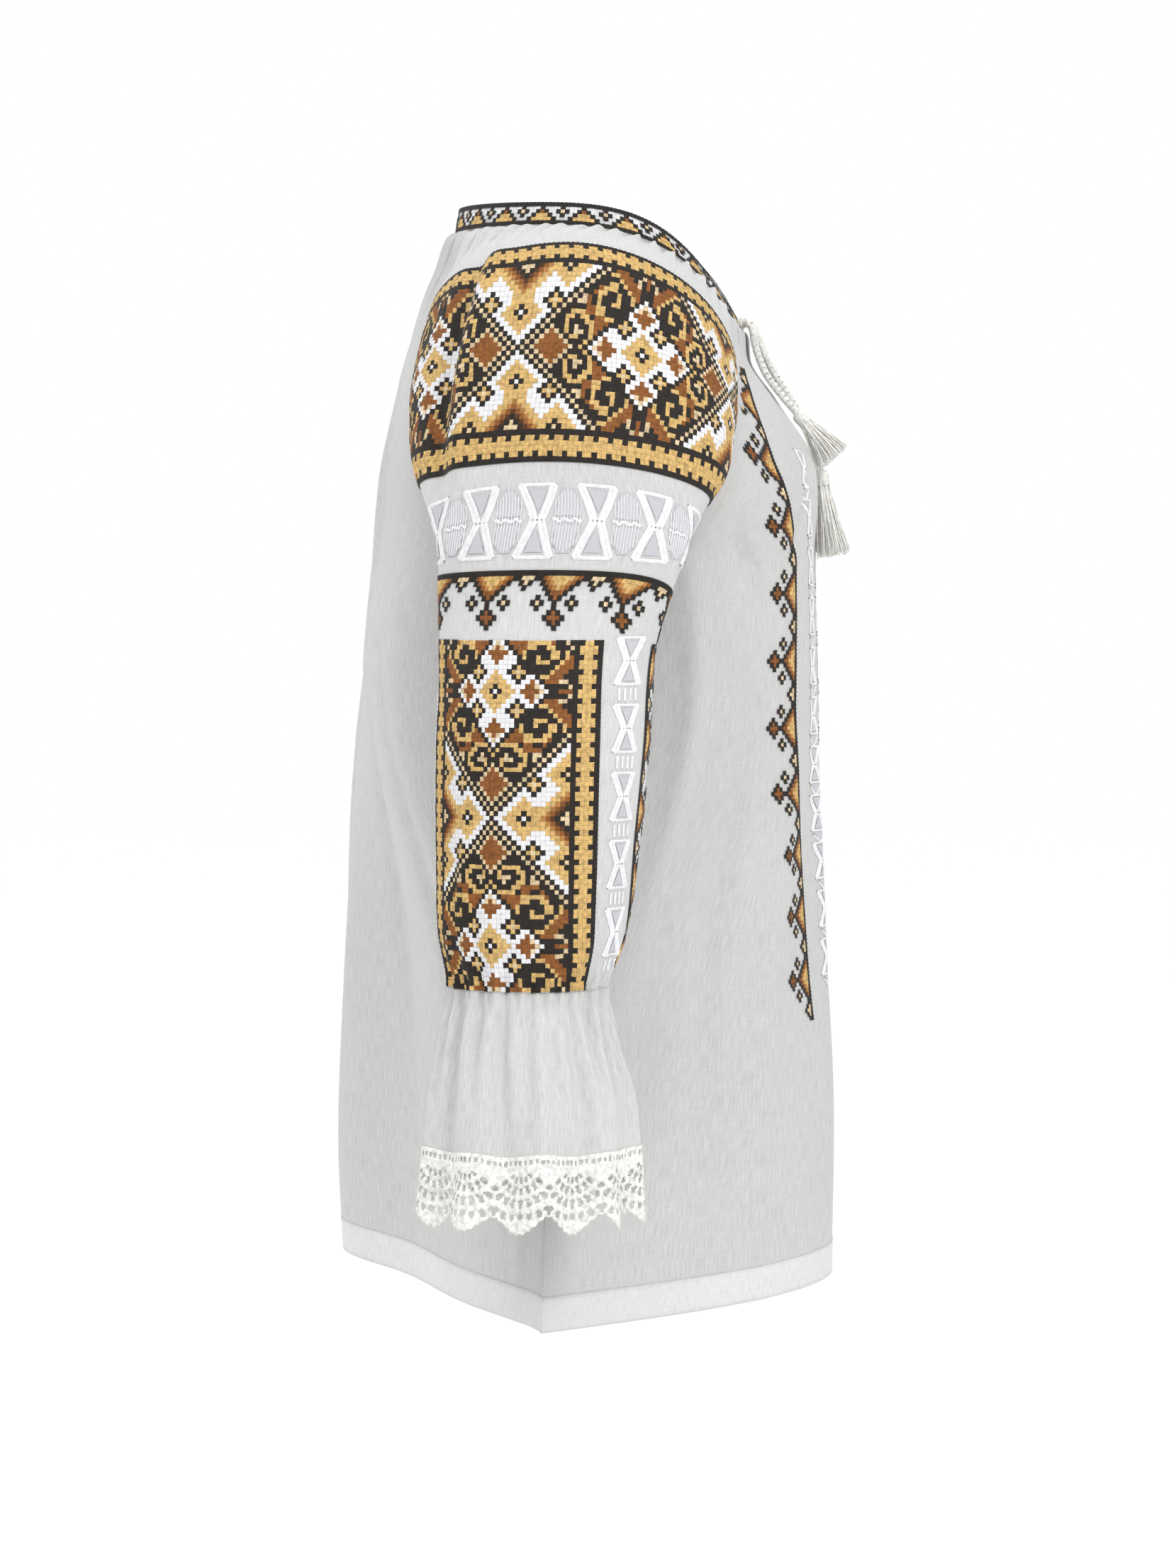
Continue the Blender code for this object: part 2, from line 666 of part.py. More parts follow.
def back_sheet():
    levels = body_levels()
    across = np.linspace(-1, 1, BODY_COLUMNS + 1)
    points = body_surface(False, levels[:, None], across[None, :])
    return Sheet("back", points, whole_index(len(levels), BODY_COLUMNS + 1), flip=False)


def thicken_hem(sheet):
    hem_rows = sheet.index[-len(HEM_LEVELS):].ravel()
    sheet.thickness[hem_rows] = HEM_CLOTH


def part_seams(panels, shoulders, sleeves, frills, laces):
    """Open the 0.3 mm gap of each seam, half of it on each side.

    Five pieces meet at the underarm, so a sleeve's normal there is taken from beside it.
    """
    half_gap = SEAM_GAP / 2
    for piece in panels + shoulders:
        pull_in(piece, piece.index[:, 0], piece.index[:, 1], half_gap)
        pull_in(piece, piece.index[:, -1], piece.index[:, -2], half_gap)
    for shoulder in shoulders:
        pull_in(shoulder, shoulder.index[-1], shoulder.index[-2], half_gap)
        for corner, neighbour in (shoulder.index[-1, :2], shoulder.index[-1, :-3:-1]):
            way = shoulder.points[neighbour] - shoulder.points[corner]
            shoulder.points[corner] += way * UNDERARM_BLUNTING
            shoulder.normals[corner] = shoulder.normals[neighbour]
    for tube in sleeves + frills:
        pull_in(tube, tube.index[0, :-1], tube.index[1, :-1], half_gap)
        pull_in(tube, tube.index[-1, :-1], tube.index[-2, :-1], half_gap)
    for sleeve in sleeves:
        underarm, below = sleeve.index[:2, 0]
        way = unit(sleeve.points[below] - sleeve.points[underarm])
        sleeve.points[underarm] += way * SEAM_GAP
        sleeve.normals[underarm] = unit(sleeve.normals[sleeve.index[0, [1, -2]]].sum(axis=0))
    for lace in laces:
        pull_in(lace, lace.index[0, :-1], lace.index[1, :-1], half_gap)


def band_rings():
    """Lines round the band: foot, middle and top of its outer face, then of its inner face."""
    angles = np.linspace(BAND_END_ANGLE, 360 - BAND_END_ANGLE, 47)
    signed = np.where(angles > 180, angles - 360, angles)
    turn = np.radians(signed)
    outward = np.stack([np.sin(turn), -np.cos(turn), 0 * turn], axis=-1)
    lean = BAND_LEAN_SIDE + (BAND_LEAN_BACK - BAND_LEAN_SIDE) * ease(np.abs(signed), 100, 180)
    lean = np.radians(lean)[:, None]
    up = np.array([0.0, 0.0, 1.0]) * np.cos(lean) - outward * np.sin(lean)
    face = np.array([0.0, 0.0, 1.0]) * np.sin(lean) + outward * np.cos(lean)
    foot = neck_ring(signed) + up * (SEAM_GAP + 0.0010)
    outer = (BAND_THICKNESS - CLOTH) / 2
    inner = -(BAND_THICKNESS + CLOTH) / 2
    corners = (
        (0.0, outer), (0.5, outer + 0.0003), (1.0, outer), (1.0, inner), (0.5, inner), (0.0, inner)
    )
    return [foot + up * (BAND_HEIGHT * share) + face * depth for share, depth in corners]


def neck_band(collection, finish):
    """A folded band round the neck, open at the slit and leaning in towards the neck."""
    rings = band_rings()
    bm = bmesh.new()
    rows = [[bm.verts.new(tuple(point)) for point in section] for section in zip(*rings)]
    for near, far in zip(rows, rows[1:]):
        for place in range(len(rings)):
            after = (place + 1) % len(rings)
            bm.faces.new((near[place], near[after], far[after], far[place]))
    bm.faces.new(rows[0][::-1])
    bm.faces.new(rows[-1])
    bmesh.ops.recalc_face_normals(bm, faces=bm.faces)
    mesh = bpy.data.meshes.new("neck_band")
    bm.to_mesh(mesh)
    bm.free()
    mesh.shade_smooth()
    mesh.set_sharp_from_angle(angle=math.radians(40))
    return add_object("neck_band", mesh, collection, finish)


def band_exit(side):
    """Where a drawstring leaves the lower half of the band's face next to the slit."""
    foot, middle = band_rings()[:2]
    ends = slice(0, 2) if side > 0 else slice(-2, None)
    corners = np.vstack([foot[ends], middle[ends]])
    way = unit(np.cross(corners[1] - corners[0], corners[2] - corners[0]))
    return corners.mean(axis=0), way * -np.sign(way[1])


def smooth_route(route):
    """Evenly spaced points along a smooth curve through a route."""
    lengths = np.concatenate([[0], np.cumsum(np.linalg.norm(np.diff(route, axis=0), axis=1))])
    at = np.linspace(0, lengths[-1], int(round(lengths[-1] / CORD_SPACING)) + 1)
    return np.stack([cubic_through(lengths, route[:, axis], at) for axis in range(3)], axis=-1)


def cord(name, side, route, collection, finish):
    start, way = band_exit(side)
    route = np.vstack([start + way * SEAM_GAP, start + way * CORD_EXIT, route])
    points = smooth_route(route)
    curve = bpy.data.curves.new(name, "CURVE")
    curve.dimensions = "3D"
    curve.bevel_depth = CORD_DIAMETER / 2
    curve.bevel_resolution = 2
    curve.use_fill_caps = True
    spline = curve.splines.new("POLY")
    spline.points.add(len(points) - 1)
    for target, point in zip(spline.points, points):
        target.co = (*point, 1.0)
    curve.materials.append(finish)
    made = bpy.data.objects.new(name, curve)
    collection.objects.link(made)
    return points


def tassel(name, shape, route_points, collection, finish):
    """A wound head with its strands drawn out of the faces of its underside."""
    end = Vector(route_points[-1])
    way = (end - Vector(route_points[-2])).normalized()
    bm = bmesh.new()
    segments = 10
    bmesh.ops.create_circle(bm, cap_ends=True, segments=segments, radius=shape.head_radius)
    bmesh.ops.poke(bm, faces=bm.faces[:])
    bmesh.ops.subdivide_edges(bm, edges=bm.edges[:], cuts=1, use_grid_fill=True)
    bmesh.ops.triangulate(bm, faces=bm.faces[:])
    for face in bm.faces:
        if face.normal.z > 0:
            face.normal_flip()
    underside = bm.faces[:]
    rim = [edge for edge in bm.edges if edge.is_boundary]
    sides = bmesh.ops.extrude_edge_only(bm, edges=rim)
    ring = [item for item in sides["geom"] if isinstance(item, bmesh.types.BMVert)]
    for vert in ring:
        vert.co.z += shape.head_length * 0.55
    upper_rim = [edge for edge in bm.edges if edge.is_boundary]
    upper = bmesh.ops.extrude_edge_only(bm, edges=upper_rim)
    for vert in (item for item in upper["geom"] if isinstance(item, bmesh.types.BMVert)):
        vert.co = Vector((vert.co.x * 0.55, vert.co.y * 0.55, shape.head_length))
    bmesh.ops.holes_fill(bm, edges=[edge for edge in bm.edges if edge.is_boundary], sides=0)

    root_faces = list(underside)
    bmesh.ops.inset_individual(bm, faces=root_faces, thickness=shape.head_radius * 0.055)
    drawn = bmesh.ops.extrude_discrete_faces(bm, faces=root_faces)["faces"]
    for number, face in enumerate(drawn):
        middle = face.calc_center_median()
        radial = Vector((middle.x, middle.y, 0.0))
        rank = (number * 7) % 11 / 11.0
        length = shape.skirt_length * (0.86 + 0.14 * rank)
        shift = radial * (shape.spread * shape.skirt_length / shape.head_radius)
        for vert in face.verts:
            local = vert.co - middle
            vert.co = middle + local * STRAND_KEEP * 2.0 + shift + Vector((0, 0, -length))
    turn = Vector((0, 0, -1)).rotation_difference(way)
    for vert in bm.verts:
        along = -(vert.co.z - shape.head_length)
        moved = turn @ Vector((vert.co.x, vert.co.y, -along))
        bend = max(0.0, along - shape.head_length) / shape.skirt_length
        vert.co = end + way * SEAM_GAP + moved + Vector((0, 0, -shape.sag * bend * bend))
    bmesh.ops.recalc_face_normals(bm, faces=bm.faces)
    mesh = bpy.data.meshes.new(name)
    bm.to_mesh(mesh)
    bm.free()
    mesh.shade_smooth()
    mesh.set_sharp_from_angle(angle=math.radians(40))
    return add_object(name, mesh, collection, finish)


def main():
    for old in list(bpy.data.objects):
        bpy.data.objects.remove(old, do_unlink=True)
    collection = bpy.data.collections.new(COLLECTION_NAME)
    bpy.context.scene.collection.children.link(collection)

    cotton = material("cotton_voile", (0.78, 0.78, 0.76), 0.85)
    worked = material("worked_cloth", (0.42, 0.27, 0.13), 0.80)
    thread = material("white_thread", (0.86, 0.85, 0.81), 0.70)

    panels = [front_sheet(), back_sheet()]
    sides = (("right", -1), ("left", 1))
    shoulders = [shoulder_sheet("shoulder_" + label, side) for label, side in sides]
    sleeves = [sleeve_sheet("sleeve_" + label, side) for label, side in sides]
    frills = [frill_sheet("cuff_frill_" + label, side) for label, side in sides]
    laces = [lace_sheet("cuff_lace_" + label, side) for label, side in sides]
    sheets = panels + shoulders + sleeves + frills + laces
    share_normals(sheets)
    for panel in panels:
        thicken_hem(panel)
    part_seams(panels, shoulders, sleeves, frills, laces)
    for sheet in sheets:
        finish = thread if sheet in laces else cotton
        sheet_object(sheet, collection, finish)

    neck_band(collection, worked)
    right_points = cord("cord_right", -1, CORD_RIGHT_ROUTE, collection, thread)
    left_points = cord("cord_left", 1, CORD_LEFT_ROUTE, collection, thread)
    tassel("tassel_right", TASSEL_RIGHT, right_points, collection, thread)
    tassel("tassel_left", TASSEL_LEFT, left_points, collection, thread)


main()
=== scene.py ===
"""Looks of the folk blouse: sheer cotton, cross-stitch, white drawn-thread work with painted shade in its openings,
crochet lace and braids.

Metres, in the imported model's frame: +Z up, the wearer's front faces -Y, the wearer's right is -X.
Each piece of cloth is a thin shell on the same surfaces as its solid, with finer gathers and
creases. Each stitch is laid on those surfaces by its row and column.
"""

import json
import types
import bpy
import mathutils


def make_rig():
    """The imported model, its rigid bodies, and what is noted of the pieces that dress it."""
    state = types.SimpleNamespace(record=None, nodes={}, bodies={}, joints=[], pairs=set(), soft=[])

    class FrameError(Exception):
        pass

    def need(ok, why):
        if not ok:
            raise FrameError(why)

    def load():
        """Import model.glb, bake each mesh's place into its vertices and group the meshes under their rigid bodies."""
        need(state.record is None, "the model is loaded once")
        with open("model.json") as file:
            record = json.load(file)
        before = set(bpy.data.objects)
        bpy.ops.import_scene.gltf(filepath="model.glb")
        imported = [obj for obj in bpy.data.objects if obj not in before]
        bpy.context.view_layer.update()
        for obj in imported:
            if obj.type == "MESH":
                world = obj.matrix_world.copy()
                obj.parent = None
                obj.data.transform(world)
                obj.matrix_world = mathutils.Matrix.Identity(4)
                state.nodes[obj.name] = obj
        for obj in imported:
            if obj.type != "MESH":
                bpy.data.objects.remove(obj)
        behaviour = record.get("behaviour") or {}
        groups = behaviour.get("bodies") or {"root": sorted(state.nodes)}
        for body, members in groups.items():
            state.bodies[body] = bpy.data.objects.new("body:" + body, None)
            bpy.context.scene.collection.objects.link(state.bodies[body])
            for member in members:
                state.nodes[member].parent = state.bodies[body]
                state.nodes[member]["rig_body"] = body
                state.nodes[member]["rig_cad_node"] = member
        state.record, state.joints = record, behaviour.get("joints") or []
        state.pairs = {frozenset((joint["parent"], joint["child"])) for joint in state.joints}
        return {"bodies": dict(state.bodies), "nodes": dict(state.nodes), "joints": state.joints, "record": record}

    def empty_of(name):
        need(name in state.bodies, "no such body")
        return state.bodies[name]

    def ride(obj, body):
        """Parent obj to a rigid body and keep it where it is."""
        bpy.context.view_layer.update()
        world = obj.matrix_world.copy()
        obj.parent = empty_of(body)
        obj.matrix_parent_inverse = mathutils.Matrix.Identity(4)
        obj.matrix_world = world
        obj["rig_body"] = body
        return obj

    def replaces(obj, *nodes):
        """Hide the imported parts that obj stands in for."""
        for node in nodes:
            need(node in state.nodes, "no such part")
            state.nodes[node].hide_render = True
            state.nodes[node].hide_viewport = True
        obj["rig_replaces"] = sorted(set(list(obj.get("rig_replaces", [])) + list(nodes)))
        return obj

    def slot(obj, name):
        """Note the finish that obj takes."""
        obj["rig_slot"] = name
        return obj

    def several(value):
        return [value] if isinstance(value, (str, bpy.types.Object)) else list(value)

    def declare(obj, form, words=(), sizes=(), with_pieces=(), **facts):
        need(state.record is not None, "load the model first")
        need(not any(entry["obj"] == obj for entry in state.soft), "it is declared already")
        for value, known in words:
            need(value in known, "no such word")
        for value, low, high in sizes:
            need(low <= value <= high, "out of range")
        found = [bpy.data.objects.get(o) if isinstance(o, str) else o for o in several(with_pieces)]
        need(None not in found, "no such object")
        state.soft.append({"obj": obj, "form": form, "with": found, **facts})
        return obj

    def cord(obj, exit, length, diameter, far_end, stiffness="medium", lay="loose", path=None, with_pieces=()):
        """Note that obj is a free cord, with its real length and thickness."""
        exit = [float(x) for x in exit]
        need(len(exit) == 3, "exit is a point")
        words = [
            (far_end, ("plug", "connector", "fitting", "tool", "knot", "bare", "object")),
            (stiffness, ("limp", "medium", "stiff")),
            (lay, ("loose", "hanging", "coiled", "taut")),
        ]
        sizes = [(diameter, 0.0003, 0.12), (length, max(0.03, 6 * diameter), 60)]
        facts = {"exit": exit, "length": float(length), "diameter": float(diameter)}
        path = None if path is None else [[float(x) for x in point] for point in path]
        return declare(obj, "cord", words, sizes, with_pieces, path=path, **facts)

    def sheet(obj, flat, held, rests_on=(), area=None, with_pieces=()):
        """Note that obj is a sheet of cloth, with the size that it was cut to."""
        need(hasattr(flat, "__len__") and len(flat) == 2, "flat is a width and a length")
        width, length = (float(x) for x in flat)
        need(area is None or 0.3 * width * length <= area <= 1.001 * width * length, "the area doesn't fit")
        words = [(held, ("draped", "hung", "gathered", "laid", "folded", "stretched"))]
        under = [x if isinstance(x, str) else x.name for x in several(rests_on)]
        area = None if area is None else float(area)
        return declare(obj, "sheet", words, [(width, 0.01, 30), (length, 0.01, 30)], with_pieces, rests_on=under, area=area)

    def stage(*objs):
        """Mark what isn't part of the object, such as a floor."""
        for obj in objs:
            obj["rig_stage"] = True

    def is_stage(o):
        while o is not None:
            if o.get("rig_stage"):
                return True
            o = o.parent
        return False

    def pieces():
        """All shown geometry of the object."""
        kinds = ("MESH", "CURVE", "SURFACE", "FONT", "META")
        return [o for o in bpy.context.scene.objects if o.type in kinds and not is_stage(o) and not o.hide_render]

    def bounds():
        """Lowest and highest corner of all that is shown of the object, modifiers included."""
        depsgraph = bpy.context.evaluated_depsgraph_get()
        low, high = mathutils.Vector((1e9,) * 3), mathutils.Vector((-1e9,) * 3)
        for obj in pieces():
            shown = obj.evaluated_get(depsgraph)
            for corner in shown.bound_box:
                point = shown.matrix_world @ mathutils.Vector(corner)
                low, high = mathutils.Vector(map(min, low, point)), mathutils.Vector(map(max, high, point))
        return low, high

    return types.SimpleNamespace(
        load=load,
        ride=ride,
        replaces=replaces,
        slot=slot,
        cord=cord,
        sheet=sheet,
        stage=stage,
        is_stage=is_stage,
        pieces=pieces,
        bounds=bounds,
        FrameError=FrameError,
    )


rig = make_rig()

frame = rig.load()

import json
import math
from collections import namedtuple

import bmesh
import bpy
import numpy as np
from mathutils import Vector

SIZE_FILE = "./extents.json"
loaded_low, loaded_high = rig.bounds()


def rows_of(kind, *rows):
    """A table of rows that each have named values."""
    return tuple(kind(*row) for row in rows)


# Cloth and seams
CLOTH = 0.0015
SEAM_GAP = 0.0003
BAND_FOOT_GAP = 0.0010
NORMAL_STEP = 0.004
HEM_DEPTH = 0.020

# Neck ring, where the cloth is gathered into the band
NECK_HALF_WIDTH = 0.092
NECK_HALF_DEPTH = 0.0885
NECK_CENTRE_Y = -0.0075
NECK_SIDE_Z = -0.006
NECK_FRONT_DROP = 0.0605
NECK_DROP_ANGLE = 50.0
NECK_DROP_POWER = 2.1
FRONT_SEAM_ANGLE = 22.0
BACK_SEAM_ANGLE = 145.0
CAP_FALL_POWER = 1.85

# Neck band
BAND_HEIGHT = 0.0155
BAND_THICKNESS = 0.0022
BAND_END_ANGLE = 4.0
BAND_LEAN_SIDE = 28.0
BAND_LEAN_BACK = 9.0

# Front slit
SLIT_BOTTOM_Z = -0.188
SLIT_TOP_HALF_GAP = 0.0062
SLIT_BOTTOM_HALF_GAP = 0.0006

# Levels of the body and the arm
UNDERARM_Z = -0.207
HEM_Z = -0.645
HEM_BACK_RISE = 0.012
SIDE_SEAM_HEM_Y = 0.007
BODY_SQUARENESS = 1.15
UNDERARM_Y = -0.002
WRIST_Z = -0.4435
FRILL_END_Z = -0.533
LACE_VALLEY_Z = -0.5605
LACE_TIP_DROP = 0.0105

# Gathers, flutes and scallops, counted all round
CAP_GATHERS = 18
FRONT_GATHERS = 11
BACK_GATHERS = 11
WRIST_GATHERS = 18
FRILL_FLUTES = 9
SCALLOPS = 12
NECK_GATHER_HEIGHT = 0.0012
WRIST_GATHER_HEIGHT = 0.0016
FLUTE_HEIGHT = 0.0046

# Distances across are from the middle of the garment, outward, so both sides share the tables.
# The cap of a sleeve, from the neck to the underarm: where its front and back seams, its
# crown and its middle are at each level.
CapRow = namedtuple(
    "CapRow",
    "level front_out front_y front_z back_out back_y back_z "
    "crown_out crown_z middle_out middle_y half_y",
)
CAP_TABLE = rows_of(
    CapRow,
    (0.25, 0.060, -0.0942, -0.0837, 0.075, 0.0880, -0.055, 0.155, -0.020, 0.045, -0.004, 0.0935),
    (0.42, 0.085, -0.0965, -0.1040, 0.092, 0.0940, -0.088, 0.181, -0.054, 0.085, -0.003, 0.0955),
    (0.60, 0.112, -0.0955, -0.1300, 0.115, 0.0930, -0.122, 0.199, -0.100, 0.125, -0.002, 0.0955),
    (0.79, 0.150, -0.0840, -0.1700, 0.147, 0.0770, -0.168, 0.213, -0.147, 0.165, -0.002, 0.0857),
    (0.905, 0.160, -0.0500, -0.1960, 0.160, 0.0460, -0.196, 0.220, -0.174, 0.186, -0.002, 0.0745),
    (1.0, 0.162, -0.0020, -0.2070, 0.162, -0.0020, -0.207, 0.227, -0.198, 0.1945, -0.002, 0.0715),
)

# Rings of the arm and the frill, below the underarm
ArmRing = namedtuple("ArmRing", "z middle_out middle_y half_out half_y")
ARM_TABLE = rows_of(
    ArmRing,
    (-0.2025, 0.1945, -0.0020, 0.0325, 0.0715),
    (-0.225, 0.2010, 0.0015, 0.0310, 0.0665),
    (-0.254, 0.2110, 0.0048, 0.0385, 0.0620),
    (-0.309, 0.2275, 0.0060, 0.0465, 0.0610),
    (-0.375, 0.2395, 0.0084, 0.0490, 0.0570),
    (-0.418, 0.2495, 0.0100, 0.0475, 0.0520),
    (-0.4435, 0.2550, 0.0108, 0.0410, 0.0437),
    (-0.470, 0.2615, 0.0107, 0.0440, 0.0480),
    (-0.504, 0.2715, 0.0080, 0.0480, 0.0550),
    (-0.537, 0.2805, 0.0075, 0.0510, 0.0575),
    (-0.572, 0.2890, 0.0078, 0.0530, 0.0600),
)

# The body from the side: where the middle of the front and of the back lie at each height
ProfilePoint = namedtuple("ProfilePoint", "z y")
FRONT_PROFILE = rows_of(
    ProfilePoint,
    (-0.0665, -0.0960),
    (-0.0850, -0.0985),
    (-0.1060, -0.1150),
    (-0.1253, -0.1272),
    (-0.1464, -0.1370),
    (-0.1700, -0.1395),
    (-0.2200, -0.1398),
    (-0.3430, -0.1430),
    (-0.4410, -0.1480),
    (-0.5380, -0.1530),
    (-0.6450, -0.1520),
)
BACK_PROFILE = rows_of(
    ProfilePoint,
    (-0.0050, 0.0810),
    (-0.0514, 0.1020),
    (-0.0857, 0.1110),
    (-0.1147, 0.1150),
    (-0.1730, 0.1215),
    (-0.2700, 0.1340),
    (-0.3430, 0.1420),
    (-0.4650, 0.1520),
    (-0.5870, 0.1565),
    (-0.6330, 0.1540),
)
SidePoint = namedtuple("SidePoint", "z out")
SIDE_PROFILE = rows_of(
    SidePoint,
    (-0.207, 0.1620),
    (-0.309, 0.1700),
    (-0.418, 0.1880),
    (-0.537, 0.2110),
    (-0.645, 0.2290),
)

# Folds: soft ridges (height above 0) and troughs. Each runs from one level to another, and its
# place across drifts from start to end. Across a sleeve is 0 at the front seam and 1 at the
# back seam, and across a panel is -1 at the right seam, 0 in the middle and 1 at the left.
Fold = namedtuple("Fold", "side top bottom across_top across_bottom width height")
SLEEVE_FOLDS = rows_of(
    Fold,
    (-1, 0.18, 0.86, 0.700, 0.690, 0.035, 0.0045),
    (-1, 0.14, 0.90, 0.765, 0.750, 0.035, -0.0085),
    (1, 0.18, 0.86, 0.690, 0.700, 0.040, 0.0035),
    (1, 0.14, 0.90, 0.760, 0.775, 0.040, -0.0065),
    (0, 1.00, 1.90, 0.860, 0.820, 0.050, -0.0030),
    (0, 1.05, 1.80, 0.120, 0.160, 0.050, -0.0025),
    (0, 1.30, 2.00, 0.380, 0.400, 0.045, 0.0020),
)
FRONT_FOLDS = rows_of(
    Fold,
    (0, 0.30, 1.45, -0.72, -0.55, 0.10, -0.0035),
    (0, 0.30, 1.35, 0.74, 0.52, 0.10, -0.0030),
    (0, 0.95, 2.05, -0.30, -0.42, 0.10, 0.0040),
    (0, 1.05, 2.05, 0.26, 0.40, 0.12, 0.0045),
    (0, 1.30, 2.05, -0.62, -0.72, 0.10, -0.0035),
    (0, 1.25, 2.05, 0.64, 0.70, 0.10, -0.0040),
)
BACK_FOLDS = rows_of(
    Fold,
    (0, 1.15, 2.30, -0.30, -0.33, 0.19, -0.0240),
    (0, 1.25, 2.30, 0.34, 0.36, 0.20, -0.0190),
    (0, 0.70, 2.10, 0.00, 0.02, 0.13, 0.0040),
    (0, 0.85, 2.10, -0.62, -0.70, 0.12, 0.0050),
    (0, 0.90, 2.10, 0.66, 0.70, 0.12, 0.0045),
)

# Drawstrings: each leaves the band's face near the slit and goes on along a given route,
# with a tassel on its end
CORD_DIAMETER = 0.0062
CORD_SPACING = 0.0045
CORD_EXIT = 0.0038
CORD_RIGHT_ROUTE = (
    (-0.0128, -0.1000, -0.0602),
    (-0.0128, -0.1022, -0.0645),
    (-0.0129, -0.1030, -0.0700),
    (-0.0130, -0.1050, -0.0777),
    (-0.0130, -0.1104, -0.0908),
    (-0.0126, -0.1200, -0.1039),
    (-0.0122, -0.1296, -0.1150),
)
CORD_LEFT_ROUTE = (
    (0.0120, -0.1000, -0.0600),
    (0.0095, -0.1032, -0.0640),
    (0.0060, -0.1058, -0.0705),
    (0.0020, -0.1092, -0.0790),
    (0.0000, -0.1145, -0.0895),
    (0.0012, -0.1218, -0.1010),
    (0.0040, -0.1300, -0.1140),
    (0.0065, -0.1372, -0.1275),
    (0.0074, -0.1415, -0.1400),
    (0.0076, -0.1432, -0.1495),
)

# Cloth shells
WEAVE_THREADS = 1500.0
SHELL_SINK = 0.0002
SHELL_THICKNESS = 0.0006
HEM_LIFT = 0.0002
HEM_THICKNESS = 0.0004
FURTHER_OUT = 0.001
TUCK_IN = 0.0017
TUCK_UP = 0.0026
SLEEVE_SHELL_COLUMNS = 216
FRILL_SHELL_COLUMNS = 288
BODY_SHELL_COLUMNS = 150
BODY_UV_SCALE = (0.0035, 0.0044)
SLIT_EASED_COLUMNS = 4
SLIT_EASE = 0.6

# Finer gathers, counted all round a sleeve or on half a body panel
FINE_NECK_GATHERS = 44
FINE_NECK_HEIGHT = 0.0007
FINE_WRIST_GATHERS = 38
FINE_WRIST_HEIGHT = 0.0015
FRILL_DRAPE_GATHERS = 23
FRILL_DRAPE_HEIGHT = 0.0020
FINE_BODY_GATHERS = 27
FINE_BODY_HEIGHT = 0.0008

# Crochet lace at the cuff ends
LACE_TOP_Z = FRILL_END_Z + 0.0035
LACE_SCALLOP_COLUMNS = 34
LACE_SHELL_ROWS = 35
LACE_SCALLOP_WIDTH = 0.031
LACE_PICOT = 0.0013
LACE_PICOTS = 9
LACE_EYELET_TOP = 0.0026
LACE_EYELET_PITCH = 0.0031
LACE_FAN_TOP = 0.006
LACE_FAN_RINGS = ((0.0055, 0.0085), (0.0105, 0.0145), (0.0172, 0.0215), (0.0245, 0.0282))
LACE_FAN_HALF_ANGLE = 1.10
LACE_FAN_HOLES = 5
LACE_LIFT = 0.0005
LACE_EYELET_DEPTH = 0.0022
LACE_SCALLOP_POWER = 1.5

# Drawstrings: each a plait of three strands
PLAIT_STRANDS = 3
PLAIT_PITCH = 0.0105
PLAIT_STRAND_RADIUS = 0.00165
PLAIT_SWING = 0.00145
PLAIT_DEPTH_SHARE = 0.50
PLAIT_SPACING = 0.0006

# Drawstring tassels
Tassel = namedtuple("Tassel", "head_length head_radius skirt_length spread sag")
TASSEL_RIGHT = Tassel(0.008, 0.0042, 0.027, 0.34, 0.0030)
TASSEL_LEFT = Tassel(0.010, 0.0045, 0.045, 0.15, 0.0000)
TASSEL_STRANDS = 160
TASSEL_STRAND_RADIUS = 0.00056
TASSEL_WOBBLE = 0.0009
TASSEL_TURNS = 5
TASSEL_TURN_RADIUS = 0.00036
TASSEL_TURN_PITCH = 0.00062
TASSEL_HEAD_SIDES = 30
GOLDEN_ANGLE = 2.399963

# The photograph's view and the studio
PHOTO_AZIMUTH = -85.0
PHOTO_ELEVATION = 3.0
PHOTO_DISTANCE = 2.6
PHOTO_FOCAL = 5912.0
PHOTO_HEIGHT = 2212.0
PHOTO_TARGET = (0.0, 0.0, -0.3434)
SENSOR_SIZE = 36.0
WORLD_STRENGTH = 1.0
FLOOR_Z = -1.25
FLOOR_HALF = 14.0
Light = namedtuple("Light", "name place target size power")
LIGHTS = rows_of(
    Light,
    ("key", (-2.2, -1.9, 1.5), (-0.1, 0.0, -0.3), 1.1, 34.0),
    ("top", (-0.6, 0.4, 2.4), (0.0, 0.0, -0.3), 1.6, 18.0),
    ("rim", (0.8, 2.4, 0.9), (0.0, 0.0, -0.3), 1.4, 12.0),
)

# Looks: a weave's light and shaded colour and the share of light that it lets through, and a
# thread's colour and how dark its shades are beside it
WEAVES = {
    "sheer_voile": ((0.75, 0.75, 0.735), (0.60, 0.60, 0.60), 0.20),
    # The body panels' voile is the sleeves' voile made darker, as painted shade
    "body_voile": ((0.69, 0.685, 0.67), (0.56, 0.56, 0.555), 0.20),
    "hem_cotton": ((0.76, 0.76, 0.745), (0.66, 0.66, 0.655), 0.10),
    "band_cloth_look": ((0.78, 0.78, 0.78), (0.55, 0.55, 0.56), 0.05),
}
BRAID_THREAD = ((0.80, 0.79, 0.75), 0.80)
CROCHET_THREAD = ((0.82, 0.81, 0.78), 0.72)
STITCH_SHADE = 0.62
WHITE_STITCH_SHADE = 0.86
# Painted shade: flat grey for the drawn-thread openings, where the open cloth shows shade behind it
OPENING_SHADE_GREY = (0.47, 0.47, 0.50)

